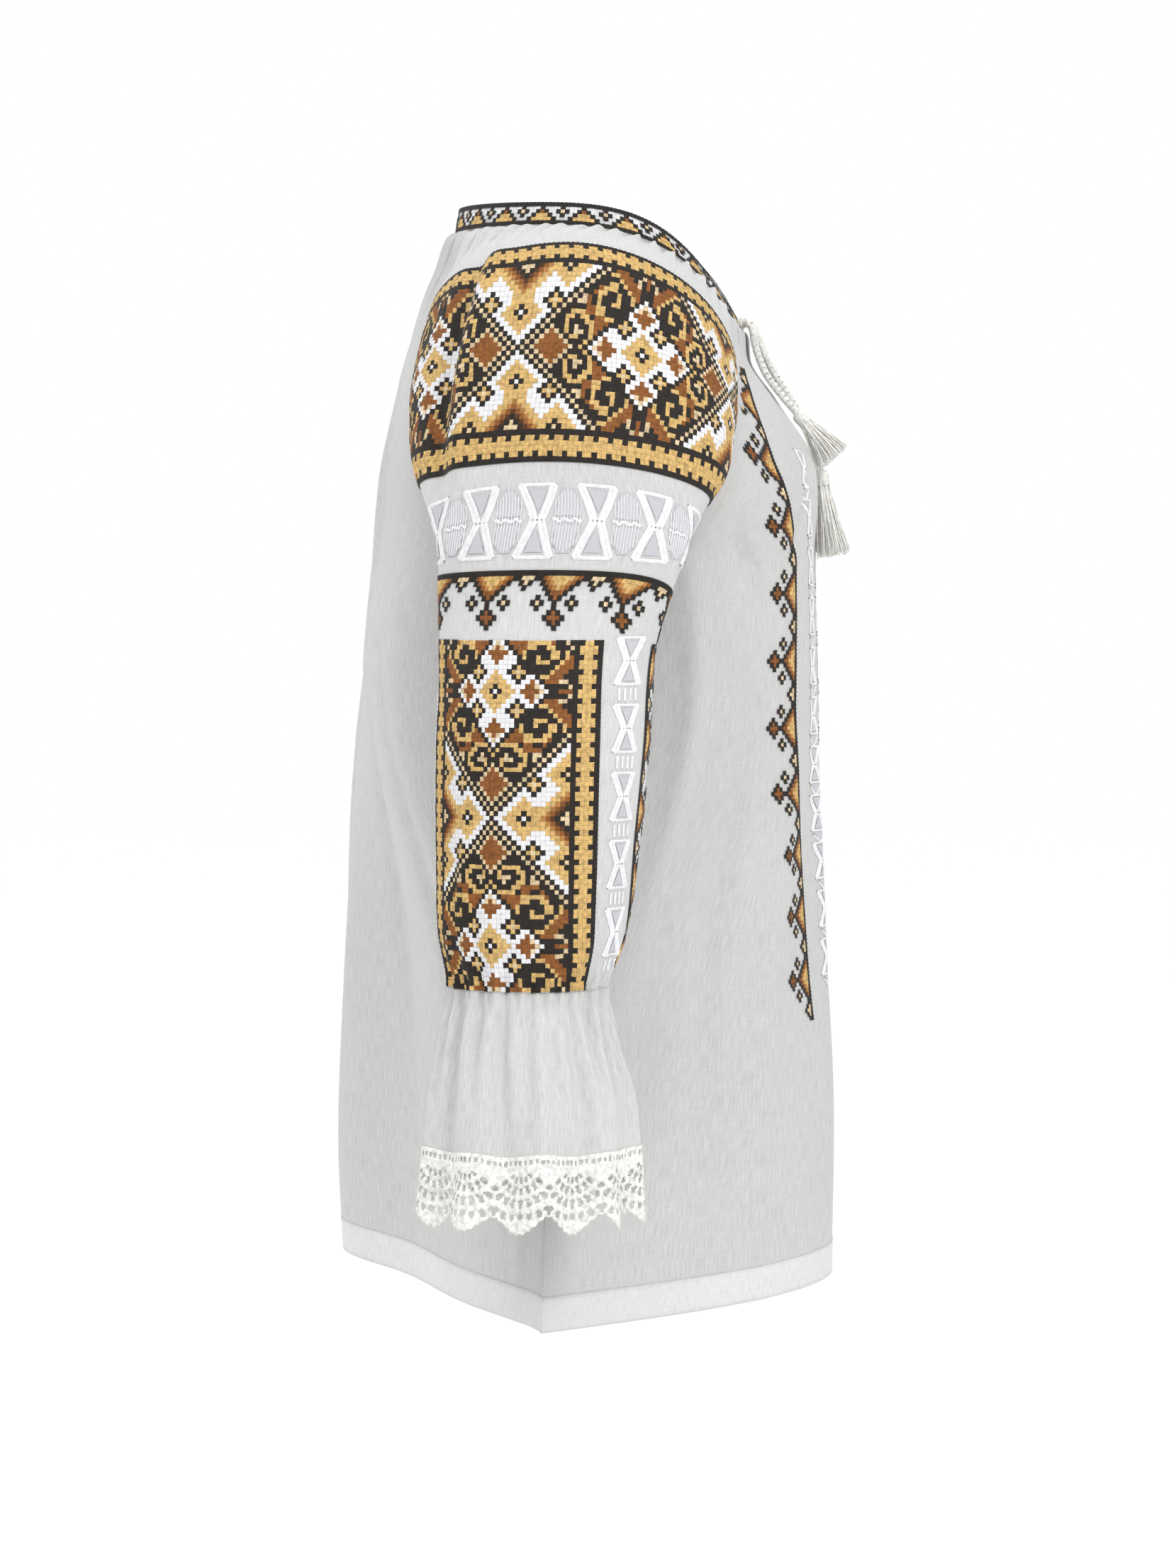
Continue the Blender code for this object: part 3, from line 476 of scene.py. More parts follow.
# Main creases of the cloth in the photo: place of the middle, half length, slant, width, height.
Crease = namedtuple("Crease", "level across half_length slant width height")
SLEEVE_CREASES = rows_of(
    Crease,
    (1.55, 0.27, 0.30, 0.030, 0.022, -0.0012),
    (1.62, 0.80, 0.26, -0.030, 0.024, -0.0014),
    (1.28, 0.22, 0.16, 0.060, 0.020, 0.0010),
    (1.35, 0.70, 0.18, -0.050, 0.018, -0.0008),
    (1.80, 0.45, 0.16, 0.020, 0.016, -0.0008),
    (1.84, 0.62, 0.14, -0.016, 0.014, -0.0009),
    (1.78, 0.585, 0.22, 0.010, 0.009, -0.0016),
    (1.72, 0.615, 0.26, 0.012, 0.012, 0.0014),
)
FRONT_CREASES = rows_of(
    Crease,
    (0.62, -0.16, 0.34, 0.120, 0.036, 0.0043),
    (0.72, -0.30, 0.30, -0.160, 0.032, -0.0038),
    (0.62, 0.18, 0.34, -0.120, 0.036, 0.0041),
    (0.92, -0.66, 0.22, 0.140, 0.029, -0.0043),
    (1.05, 0.42, 0.42, 0.140, 0.040, -0.0049),
    (1.22, -0.78, 0.36, 0.060, 0.036, 0.0049),
    (1.45, -0.12, 0.50, 0.060, 0.043, 0.0043),
    (1.60, 0.20, 0.44, -0.050, 0.040, -0.0046),
    (1.40, -0.55, 0.48, 0.090, 0.036, -0.0052),
    (1.66, -0.34, 0.40, 0.040, 0.040, 0.0049),
    (1.52, 0.66, 0.46, -0.060, 0.040, 0.0052),
)
BACK_CREASES = rows_of(
    Crease,
    (0.55, -0.12, 0.30, 0.060, 0.032, 0.0041),
    (0.80, -0.40, 0.40, 0.120, 0.036, 0.0049),
    (0.85, 0.36, 0.36, -0.120, 0.036, -0.0046),
    (1.10, 0.66, 0.36, 0.080, 0.036, 0.0043),
    (1.35, 0.05, 0.46, 0.060, 0.040, 0.0049),
    (1.42, -0.30, 0.40, -0.050, 0.036, -0.0043),
    (1.50, -0.62, 0.44, -0.060, 0.036, -0.0052),
    (1.52, 0.36, 0.44, 0.050, 0.036, 0.0049),
    (1.66, -0.82, 0.36, 0.030, 0.032, 0.0046),
)


def cubic_through(knots, values, at):
    """Smooth curve through the rows of a short table, with slopes from their neighbours."""
    knots = np.asarray(knots, dtype=float)
    values = np.asarray(values, dtype=float)
    at = np.clip(np.asarray(at, dtype=float), knots[0], knots[-1])
    gaps = np.diff(knots)
    rises = np.diff(values) / gaps
    slopes = np.empty_like(values)
    slopes[0] = rises[0]
    slopes[-1] = rises[-1]
    slopes[1:-1] = (rises[:-1] * gaps[1:] + rises[1:] * gaps[:-1]) / (gaps[:-1] + gaps[1:])
    place = np.clip(np.searchsorted(knots, at, side="right") - 1, 0, len(gaps) - 1)
    width = gaps[place]
    s = (at - knots[place]) / width
    return (
        (2 * s**3 - 3 * s**2 + 1) * values[place]
        + (s**3 - 2 * s**2 + s) * width * slopes[place]
        + (-2 * s**3 + 3 * s**2) * values[place + 1]
        + (s**3 - s**2) * width * slopes[place + 1]
    )


def arc_along(points):
    """Distance along a line of points, from its start."""
    return np.concatenate([[0], np.cumsum(np.linalg.norm(np.diff(points, axis=0), axis=1))])


def curve_at(lengths, points, at):
    """Points at distances along a smooth curve through a line of points."""
    return np.stack([cubic_through(lengths, points[:, axis], at) for axis in range(3)], axis=-1)


def smooth_line(points, spacing):
    """Evenly spaced points along a smooth curve through others, and how far along they are."""
    lengths = arc_along(points)
    at = np.linspace(0, lengths[-1], int(round(lengths[-1] / spacing)) + 1)
    return curve_at(lengths, points, at), at


def together(level, across):
    """Levels and places across as arrays of one shape."""
    return np.broadcast_arrays(np.asarray(level, float), np.asarray(across, float))


def column(table, name, reverse=False):
    """One named value of every row of a table."""
    values = [getattr(row, name) for row in table]
    return values[::-1] if reverse else values


def by_height(table, name, z):
    """A column of a table whose rows go down in z."""
    return cubic_through(column(table, "z", True), column(table, name, True), z)


def ease(x, start, end):
    """From 0 at the start to 1 at the end, with soft ends."""
    s = np.clip((np.asarray(x, dtype=float) - start) / (end - start), 0.0, 1.0)
    return s * s * (3 - 2 * s)


def neck_height(angle):
    """Height of the neck ring: 0 degrees at the front, 90 at the shoulder, 180 at the back."""
    fall = np.exp(-((np.abs(angle) / NECK_DROP_ANGLE) ** NECK_DROP_POWER))
    return NECK_SIDE_Z - NECK_FRONT_DROP * fall


def neck_ring(angle):
    turn = np.radians(angle)
    return np.stack(
        [
            NECK_HALF_WIDTH * np.sin(turn),
            NECK_CENTRE_Y - NECK_HALF_DEPTH * np.cos(turn),
            neck_height(np.asarray(angle, dtype=float)),
        ],
        axis=-1,
    )


def cap_rows():
    """The cap's table with its first row worked out from the neck ring."""
    front = neck_ring(FRONT_SEAM_ANGLE)
    back = neck_ring(BACK_SEAM_ANGLE)
    first = CapRow(
        0.0, *front, *back, NECK_HALF_WIDTH, NECK_SIDE_Z, 0.0, NECK_CENTRE_Y, NECK_HALF_DEPTH
    )
    return (first,) + CAP_TABLE


CAP_ROWS = cap_rows()


def cap_value(name, level):
    """One value of the cap's table at a level."""
    return cubic_through(column(CAP_ROWS, "level"), column(CAP_ROWS, name), level)


def cap_surface(level, across):
    """Outer face of a sleeve's cap, as distances outward, along Y and up."""
    get = {name: cap_value(name, level) for name in CapRow._fields[1:]}
    half_out = get["crown_out"] - get["middle_out"]
    front_angle = np.arctan2(
        (get["front_out"] - get["middle_out"]) / half_out,
        (get["middle_y"] - get["front_y"]) / get["half_y"],
    )
    back_angle = np.arctan2(
        (get["back_out"] - get["middle_out"]) / half_out,
        (get["middle_y"] - get["back_y"]) / get["half_y"],
    )
    back_angle = np.where(back_angle < 0, back_angle + 2 * math.pi, back_angle)
    angle = front_angle + (back_angle - front_angle) * across

    def on_ring(turn):
        return (
            get["middle_out"] + half_out * np.sin(turn),
            get["middle_y"] - get["half_y"] * np.cos(turn),
        )

    out, y = on_ring(angle)
    front_end = on_ring(front_angle)
    back_end = on_ring(back_angle)
    near_front = (1 - across) ** 3
    near_back = across**3
    out = out + near_front * (get["front_out"] - front_end[0])
    out = out + near_back * (get["back_out"] - back_end[0])
    y = y + near_front * (get["front_y"] - front_end[1])
    y = y + near_back * (get["back_y"] - back_end[1])

    crown = math.pi / 2
    share = np.where(
        angle < crown,
        (crown - angle) / (crown - front_angle),
        (angle - crown) / (back_angle - crown),
    )
    share = np.clip(share, 0.0, 1.0)
    closing = level**3
    fall = (1 - closing) * share**CAP_FALL_POWER + closing * (1 - np.cos(math.pi * share)) / 2
    end_z = np.where(angle < crown, get["front_z"], get["back_z"])
    ring_z = neck_height(FRONT_SEAM_ANGLE + (BACK_SEAM_ANGLE - FRONT_SEAM_ANGLE) * across)
    z = get["crown_z"] + (end_z - get["crown_z"]) * fall
    z = z + (ring_z - z) * (1 - ease(level, 0.0, 0.12))
    return np.stack([out, y, z], axis=-1)


def arm_surface(z, across):
    """Outer face of the arm and frill at a height, across from 0 round to 1 at the underarm."""
    get = {name: by_height(ARM_TABLE, name, z) for name in ArmRing._fields[1:]}
    angle = -math.pi / 2 + 2 * math.pi * across
    out = get["middle_out"] + get["half_out"] * np.sin(angle)
    y = get["middle_y"] - get["half_y"] * np.cos(angle)
    top = ARM_TABLE[0].z
    tilt = (CAP_TABLE[-1].crown_z - UNDERARM_Z) / 2 * (1 - ease(z, top, top - 0.05))
    return np.stack([out, y, z + tilt * np.sin(angle)], axis=-1)


def arm_height(level):
    """Levels below the underarm: 1 at the underarm, 2 at the wrist and on past it."""
    top = ARM_TABLE[0].z
    return top + (level - 1) * (WRIST_Z - top)


def arm_level(z):
    """The level that arm_height turns into this height."""
    top = ARM_TABLE[0].z
    return 1 + (z - top) / (WRIST_Z - top)


def sleeve_base(level, across):
    """Outer face of a sleeve with no relief, from neck to frill."""
    level, across = together(level, across)
    upper = cap_surface(np.clip(level, 0, 1), across)
    lower = arm_surface(arm_height(np.maximum(level, 1)), across)
    return np.where((level <= 1)[..., None], upper, lower)


def unit(vectors):
    return vectors / np.maximum(np.linalg.norm(vectors, axis=-1, keepdims=True), 1e-12)


def surface_normal(surface, down, across, step=NORMAL_STEP):
    """Outward direction of a surface, from its slopes on both sides."""
    along = surface(down + step, across) - surface(down - step, across)
    round_ = surface(down, across + step) - surface(down, across - step)
    return unit(np.cross(along, round_))


def fold_height(folds, side, level, across):
    """How far all folds of a side stand out."""
    total = np.zeros(np.broadcast(level, across).shape)
    for fold in folds:
        if fold.side not in (0, side):
            continue
        share = np.clip((level - fold.top) / (fold.bottom - fold.top), 0.0, 1.0)
        middle = fold.across_top + (fold.across_bottom - fold.across_top) * share
        rise = np.sin(math.pi * share) ** 0.8
        total = total + fold.height * rise * np.exp(-(((across - middle) / fold.width) ** 2))
    return total


def sleeve_relief(side, level, across):
    """How far the cloth stands proud: folds, gathers at the neck and wrist, and flutes."""
    seam_fade = np.where(level < 1.25, ease(across, 0.0, 0.06) * ease(1 - across, 0.0, 0.06), 1.0)
    relief = fold_height(SLEEVE_FOLDS, side, level, across) * seam_fade
    neck_share = (0.5 + ease(level, 0.0, 0.05)) * (1 - ease(level, 0.05, 0.24))
    relief = relief + NECK_GATHER_HEIGHT * neck_share * seam_fade * np.cos(
        2 * math.pi * CAP_GATHERS * across
    )
    wrist_share = np.exp(-(((level - 2.0) / np.where(level < 2, 0.10, 0.12)) ** 2))
    wrist_gathers = np.cos(2 * math.pi * WRIST_GATHERS * across)
    relief = relief + WRIST_GATHER_HEIGHT * wrist_share * wrist_gathers
    flute_share = ease(level, 2.02, 2.42)
    sway = 0.25 * np.sin(2 * math.pi * across + 0.6 * side)
    flutes = np.sin(2 * math.pi * FRILL_FLUTES * across + sway)
    return relief + FLUTE_HEIGHT * flute_share * flutes


def raised_sleeve(side, level, across, height):
    """Points on a sleeve in the garment's own frame, moved outward by a height."""
    outward = surface_normal(sleeve_base, level, across)
    points = sleeve_base(level, across) + outward * height[..., None]
    points[..., 0] *= side
    return points


def sleeve_surface(side, level, across):
    """Outer face of a whole sleeve with its relief, in the garment's own frame."""
    level, across = together(level, across)
    return raised_sleeve(side, level, across, sleeve_relief(side, level, across))


def panel_edge(level, is_front):
    """The raglan seam of a body panel down to the underarm."""
    name = "front" if is_front else "back"
    return [cap_value(name + part, level) for part in ("_out", "_y", "_z")]


def body_base(is_front, level, across):
    """Outer face of the front or back panel: level 0 neck, 1 underarm, 2 hem."""
    level, across = together(level, across)
    profile = FRONT_PROFILE if is_front else BACK_PROFILE
    sign = -1.0 if is_front else 1.0
    top_z = profile[0].z
    upper = np.clip(level, 0, 1)
    lower = np.clip(level, 1, 2) - 1
    hem_z = HEM_Z if is_front else HEM_Z + HEM_BACK_RISE
    middle_z = np.where(
        level <= 1,
        top_z + (UNDERARM_Z - top_z) * upper,
        UNDERARM_Z + (hem_z - UNDERARM_Z) * lower,
    )
    edge_low_z = UNDERARM_Z + (HEM_Z - UNDERARM_Z) * lower
    middle_y = by_height(profile, "y", middle_z)
    seam_out, seam_y, seam_z = panel_edge(upper, is_front)
    side_out = by_height(SIDE_PROFILE, "out", edge_low_z)
    side_y = UNDERARM_Y + (SIDE_SEAM_HEM_Y - UNDERARM_Y) * lower
    edge_out = np.where(level <= 1, seam_out, side_out)
    edge_y = np.where(level <= 1, seam_y, side_y)
    edge_z = np.where(level <= 1, seam_z, edge_low_z)

    axis_y = np.where(level <= 1, NECK_CENTRE_Y + (UNDERARM_Y - NECK_CENTRE_Y) * upper, side_y)
    depth = np.abs(middle_y - axis_y)
    squareness = 2 + BODY_SQUARENESS * ease(level, 0.1, 0.75) * (1 - ease(level, 1.05, 1.6))
    edge_share = np.clip(np.abs(edge_y - axis_y) / depth, 0.0, 1.0)
    reach = np.arcsin((1 - edge_share**squareness) ** (1 / squareness))
    spread = reach + (math.pi / 2 - reach) * ease(level, 0.2, 0.9)
    angle = spread * across
    out = edge_out * np.sin(angle) / np.sin(spread)
    share = np.clip(np.abs(out) * np.sin(reach) / edge_out, 0.0, 1.0)
    round_y = depth * (1 - share**squareness) ** (1 / squareness)
    lens_y = depth * np.cos(math.pi / 2 * share)
    lens_share = ease(level, 1.15, 1.95) * 0.92
    y = axis_y + sign * (round_y + (lens_y - round_y) * lens_share)
    z = middle_z + (edge_z - middle_z) * across**2
    if is_front:
        ring_z = neck_height(FRONT_SEAM_ANGLE * across)
    else:
        ring_z = neck_height(180 - (180 - BACK_SEAM_ANGLE) * np.abs(across))
    z = z + (ring_z - z) * (1 - ease(level, 0.0, 0.12))
    return np.stack([out, y, z], axis=-1)


def body_relief(is_front, level, across):
    """How far a body panel's folds and gathers stand out."""
    folds = FRONT_FOLDS if is_front else BACK_FOLDS
    gathers = FRONT_GATHERS if is_front else BACK_GATHERS
    seam_fade = ease(1 - np.abs(across), 0.0, 0.08)
    neck_share = (0.5 + ease(level, 0.0, 0.06)) * (1 - ease(level, 0.06, 0.34))
    relief = fold_height(folds, 0, level, across)
    relief = relief + NECK_GATHER_HEIGHT * neck_share * np.cos(math.pi * gathers * across)
    return relief * seam_fade


def raised_body(is_front, level, across, height):
    """Points on a body panel, moved outward by a height."""

    def base(down, over):
        return body_base(is_front, down, over)

    outward = surface_normal(base, np.clip(level, NORMAL_STEP, 2 - NORMAL_STEP), across)
    return base(level, across) + outward * (height if is_front else -height)[..., None]


def body_surface(is_front, level, across):
    """Outer face of a body panel with its relief."""
    level, across = together(level, across)
    return raised_body(is_front, level, across, body_relief(is_front, level, across))


def band_rings():
    """Lines round the band: foot, middle and top of its outer face, then of its inner face."""
    angles = np.linspace(BAND_END_ANGLE, 360 - BAND_END_ANGLE, 47)
    signed = np.where(angles > 180, angles - 360, angles)
    turn = np.radians(signed)
    outward = np.stack([np.sin(turn), -np.cos(turn), 0 * turn], axis=-1)
    lean = BAND_LEAN_SIDE + (BAND_LEAN_BACK - BAND_LEAN_SIDE) * ease(np.abs(signed), 100, 180)
    lean = np.radians(lean)[:, None]
    up = np.array([0.0, 0.0, 1.0]) * np.cos(lean) - outward * np.sin(lean)
    face = np.array([0.0, 0.0, 1.0]) * np.sin(lean) + outward * np.cos(lean)
    foot = neck_ring(signed) + up * (SEAM_GAP + BAND_FOOT_GAP)
    outer = (BAND_THICKNESS - CLOTH) / 2
    inner = -(BAND_THICKNESS + CLOTH) / 2
    corners = (
        (0.0, outer), (0.5, outer + 0.0003), (1.0, outer), (1.0, inner), (0.5, inner), (0.0, inner)
    )
    return [foot + up * (BAND_HEIGHT * share) + face * depth for share, depth in corners]


def band_exit(side):
    """Where a drawstring leaves the lower half of the band's face next to the slit."""
    foot, middle = band_rings()[:2]
    ends = slice(0, 2) if side > 0 else slice(-2, None)
    corners = np.vstack([foot[ends], middle[ends]])
    way = unit(np.cross(corners[1] - corners[0], corners[2] - corners[0]))
    return corners.mean(axis=0), way * -np.sign(way[1])


def slit_half_gap(z):
    """Half the width of the open slit at a height."""
    top_z = FRONT_PROFILE[0].z
    share = np.clip((z - SLIT_BOTTOM_Z) / (top_z - SLIT_BOTTOM_Z), 0, 1)
    return SLIT_BOTTOM_HALF_GAP + (SLIT_TOP_HALF_GAP - SLIT_BOTTOM_HALF_GAP) * share**1.2


def slit_level():
    """The level where the slit ends."""
    top_z = FRONT_PROFILE[0].z
    return (SLIT_BOTTOM_Z - top_z) / (UNDERARM_Z - top_z)


def shader_of(material):
    return material.node_tree.nodes["Principled BSDF"]


def new_material(name, colour, roughness, sheen=0.0):
    made = bpy.data.materials.new(name)
    made.use_nodes = True
    shader = shader_of(made)
    shader.inputs["Base Color"].default_value = (*colour, 1.0)
    shader.inputs["Roughness"].default_value = roughness
    shader.inputs["Metallic"].default_value = 0.0
    shader.inputs["Sheen Weight"].default_value = sheen
    shader.inputs["Sheen Roughness"].default_value = 0.5
    return made


def add_node(material, kind, **settings):
    node = material.node_tree.nodes.new(kind)
    for name, value in settings.items():
        setattr(node, name, value)
    return node


def stretched_noise(material, scale, detail):
    """Noise in the cloth's own UV, in metres, stretched along one thread direction."""
    place = add_node(material, "ShaderNodeTexCoord")
    mapping = add_node(material, "ShaderNodeMapping")
    mapping.inputs["Scale"].default_value = (scale[0], scale[1], 1.0)
    noise = add_node(material, "ShaderNodeTexNoise")
    noise.inputs["Scale"].default_value = 1.0
    noise.inputs["Detail"].default_value = detail
    noise.inputs["Distortion"].default_value = 0.0
    links = material.node_tree.links
    links.new(place.outputs["UV"], mapping.inputs["Vector"])
    links.new(mapping.outputs["Vector"], noise.inputs["Vector"])
    return noise.outputs["Fac"]


def colour_ramp(material, source, stops):
    """Colours between stops, chosen by a source value."""
    ramp = add_node(material, "ShaderNodeValToRGB")
    while len(ramp.color_ramp.elements) < len(stops):
        ramp.color_ramp.elements.new(0.5)
    for element, (position, colour) in zip(ramp.color_ramp.elements, stops):
        element.position = position
        element.color = (*colour, 1.0)
    material.node_tree.links.new(source, ramp.inputs["Fac"])
    return ramp


def multiply(material, first, second, share):
    """One colour darkened by a share of another."""
    mix = add_node(material, "ShaderNodeMix", data_type="RGBA", blend_type="MULTIPLY")
    mix.inputs["Factor"].default_value = share
    material.node_tree.links.new(first, mix.inputs["A"])
    material.node_tree.links.new(second, mix.inputs["B"])
    return mix.outputs["Result"]


def bump(material, height, strength, distance):
    """Fine relief from a height, in the shading only."""
    node = add_node(material, "ShaderNodeBump")
    node.inputs["Strength"].default_value = strength
    node.inputs["Distance"].default_value = distance
    material.node_tree.links.new(height, node.inputs["Height"])
    material.node_tree.links.new(node.outputs["Normal"], shader_of(material).inputs["Normal"])


def woven(name, light, shade, sheerness):
    """Thin plain weave with slubs both ways. Light comes through a share of it."""
    made = new_material(name, light, 0.9, sheen=0.15)
    along = stretched_noise(made, (WEAVE_THREADS, WEAVE_THREADS / 14), 2.0)
    across = stretched_noise(made, (WEAVE_THREADS / 16, WEAVE_THREADS), 2.0)
    warp = colour_ramp(made, along, ((0.30, shade), (0.66, light)))
    weft_stops = ((0.30, (0.86, 0.86, 0.87)), (0.66, (1.0, 1.0, 1.0)))
    weft = colour_ramp(made, across, weft_stops)
    cloudy = stretched_noise(made, (9.0, 7.0), 2.0)
    soft = colour_ramp(made, cloudy, ((0.30, (0.93, 0.93, 0.94)), (0.70, (1, 1, 1))))
    colour = multiply(made, warp.outputs["Color"], weft.outputs["Color"], 0.45)
    colour = multiply(made, colour, soft.outputs["Color"], 0.9)
    links = made.node_tree.links
    links.new(colour, shader_of(made).inputs["Base Color"])
    bump(made, along, 0.25, 0.0003)
    through = add_node(made, "ShaderNodeBsdfTranslucent")
    links.new(colour, through.inputs["Color"])
    blend = add_node(made, "ShaderNodeMixShader")
    blend.inputs["Fac"].default_value = sheerness
    output = made.node_tree.nodes["Material Output"]
    links.new(shader_of(made).outputs["BSDF"], blend.inputs[1])
    links.new(through.outputs["BSDF"], blend.inputs[2])
    links.new(blend.outputs["Shader"], output.inputs["Surface"])
    return made


def thread(name, colour, dark_share, roughness=0.7):
    """Stranded embroidery thread: fine ridges, and shades that differ from stitch to stitch."""
    made = new_material(name, colour, roughness, sheen=0.03)
    shader_of(made).inputs["Specular IOR Level"].default_value = 0.22
    place = add_node(made, "ShaderNodeTexCoord")
    noise = add_node(made, "ShaderNodeTexNoise")
    noise.inputs["Scale"].default_value = 420.0
    noise.inputs["Detail"].default_value = 2.0
    made.node_tree.links.new(place.outputs["Object"], noise.inputs["Vector"])
    dark = tuple(value * dark_share for value in colour)
    ramp = colour_ramp(made, noise.outputs["Fac"], ((0.34, dark), (0.64, colour)))
    made.node_tree.links.new(ramp.outputs["Color"], shader_of(made).inputs["Base Color"])
    strands = add_node(made, "ShaderNodeTexNoise")
    strands.inputs["Scale"].default_value = 2600.0
    strands.inputs["Detail"].default_value = 1.0
    made.node_tree.links.new(place.outputs["Object"], strands.inputs["Vector"])
    bump(made, strands.outputs["Fac"], 0.35, 0.00025)
    return made


def crease_height(creases, level, across):
    """How far all creases stand out."""
    total = np.zeros(np.broadcast(level, across).shape)
    for crease in creases:
        share = (level - crease.level) / crease.half_length
        middle = crease.across + crease.slant * share
        profile = np.exp(-(((across - middle) / crease.width) ** 2))
        total = total + crease.height * np.exp(-((1.5 * share) ** 2)) * profile
    return total


def dressed_sleeve(side, level, across, lift=0.0):
    """The sleeve's outer face with the finer gathers and creases, moved out by lift."""
    level, across = together(level, across)
    relief = sleeve_relief(side, level, across) + crease_height(SLEEVE_CREASES, level, across)
    edge = np.where(level < 1.0, ease(across, 0.0, 0.05) * ease(1 - across, 0.0, 0.05), 1.0)
    neck = (1 - ease(level, 0.03, 0.20)) * edge
    sway = 0.7 * np.sin(9.0 * across + 2.0 * side)
    gathers = np.cos(2 * math.pi * FINE_NECK_GATHERS * across + sway)
    relief = relief + FINE_NECK_HEIGHT * neck * gathers
    wrist = np.exp(-(((level - 2.0) / np.where(level < 2, 0.035, 0.045)) ** 2))
    gathers = np.cos(2 * math.pi * FINE_WRIST_GATHERS * across + 2 * sway)
    relief = relief + FINE_WRIST_HEIGHT * wrist * gathers
    drape = ease(level, 2.01, 2.08) * (1 - ease(level, 2.16, 2.44))
    gathers = np.cos(2 * math.pi * FRILL_DRAPE_GATHERS * across + 3 * sway)
    relief = relief + FRILL_DRAPE_HEIGHT * drape * gathers
    return raised_sleeve(side, level, across, relief + lift)


def dressed_body(is_front, level, across, lift=0.0):
    """A body panel's outer face with the finer gathers and creases, moved out by lift."""
    level, across = together(level, across)
    creases = FRONT_CREASES if is_front else BACK_CREASES
    fade = ease(1 - np.abs(across), 0.0, 0.08)
    relief = body_relief(is_front, level, across)
    relief = relief + crease_height(creases, level, across) * fade
    neck = (1 - ease(level, 0.06, 0.42)) * fade
    sway = 0.8 * np.sin(7.0 * across)
    gathers = np.cos(math.pi * FINE_BODY_GATHERS * across + sway)
    relief = relief + FINE_BODY_HEIGHT * neck * gathers
    return raised_body(is_front, level, across, relief + lift)


def shell(name, surface, material, uv_scale, closed=False, skip=None, thickness=SHELL_THICKNESS):
    """A wall over a surface, with a UV in metres. skip(row, col) leaves a face out.

    surface is a pair of grids of points: the outer face, and the same a little further out, which
    says which way the faces are turned.
    """
    grid, further = surface
    rows, cols = grid.shape[:2]
    way = np.cross(grid[1:, :-1] - grid[:-1, :-1], grid[:-1, 1:] - grid[:-1, :-1])
    inward = float(np.sum(way * (further - grid)[:-1, :-1])) > 0
    if closed:
        grid = grid[:, :-1]
        cols -= 1
    mesh = bpy.data.meshes.new(name)
    bm = bmesh.new()
    verts = [bm.verts.new(point) for point in grid.reshape(-1, 3)]
    uv_layer = bm.loops.layers.uv.new("metres")
    last = cols if closed else cols - 1
    for row in range(rows - 1):
        for col in range(last):
            if skip is not None and skip(row, col):
                continue
            after = (col + 1) % cols
            corners = ((row, col), (row, after), (row + 1, after), (row + 1, col))
            places = ((row, col), (row, col + 1), (row + 1, col + 1), (row + 1, col))
            if inward:
                corners, places = corners[::-1], places[::-1]
            face = bm.faces.new([verts[r * cols + c] for r, c in corners])
            for loop, (r, c) in zip(face.loops, places):
                loop[uv_layer].uv = (c * uv_scale[0], r * uv_scale[1])
    bmesh.ops.delete(bm, geom=[vert for vert in bm.verts if not vert.link_faces], context="VERTS")
    bmesh.ops.remove_doubles(bm, verts=bm.verts, dist=1e-7)
    bm.to_mesh(mesh)
    bm.free()
    mesh.materials.append(material)
    mesh.shade_smooth()
    made = bpy.data.objects.new(name, mesh)
    bpy.context.scene.collection.objects.link(made)
    if thickness:
        apply_thickness(made, thickness)
    return made


def apply_thickness(made, thickness):
    """Give a shell its thickness, inward from its outer face."""
    solid = made.modifiers.new("wall", "SOLIDIFY")
    solid.thickness = thickness
    solid.offset = -1.0
    solid.use_even_offset = False
    evaluated = made.evaluated_get(bpy.context.evaluated_depsgraph_get())
    finished = bpy.data.meshes.new_from_object(evaluated)
    made.modifiers.clear()
    old = made.data
    made.data = finished
    bpy.data.meshes.remove(old)


def grid_faces(rows, cols, closed=False):
    """Four-sided faces between the points of rows and columns, all the way round if closed."""
    faces = []
    for row in range(rows - 1):
        for col in range(cols if closed else cols - 1):
            after = (col + 1) % cols
            near, far = row * cols, (row + 1) * cols
            faces.append((near + col, near + after, far + after, far + col))
    return faces


def cut_size(grid):
    """Width, length and area of a piece of cloth read out flat, from its outer face."""
    across_ways = np.linalg.norm(np.diff(grid, axis=1), axis=2)
    down_ways = np.linalg.norm(np.diff(grid, axis=0), axis=2)
    along = grid[:-1, 1:] - grid[:-1, :-1]
    down = grid[1:, :-1] - grid[:-1, :-1]
    area = float(np.sum(np.linalg.norm(np.cross(down, along), axis=2)))
    return float(across_ways.sum(axis=1).max()), float(down_ways.sum(axis=0).max()), area


def declare_sheet(made, surface, held, rests_on, pieces):
    """Say how the cloth is cut, what holds it and which pieces go with it."""
    width, length, area = cut_size(surface[0])
    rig.sheet(
        made, flat=(width, length), held=held, rests_on=rests_on,
        area=min(area, width * length), with_pieces=list(pieces),
    )


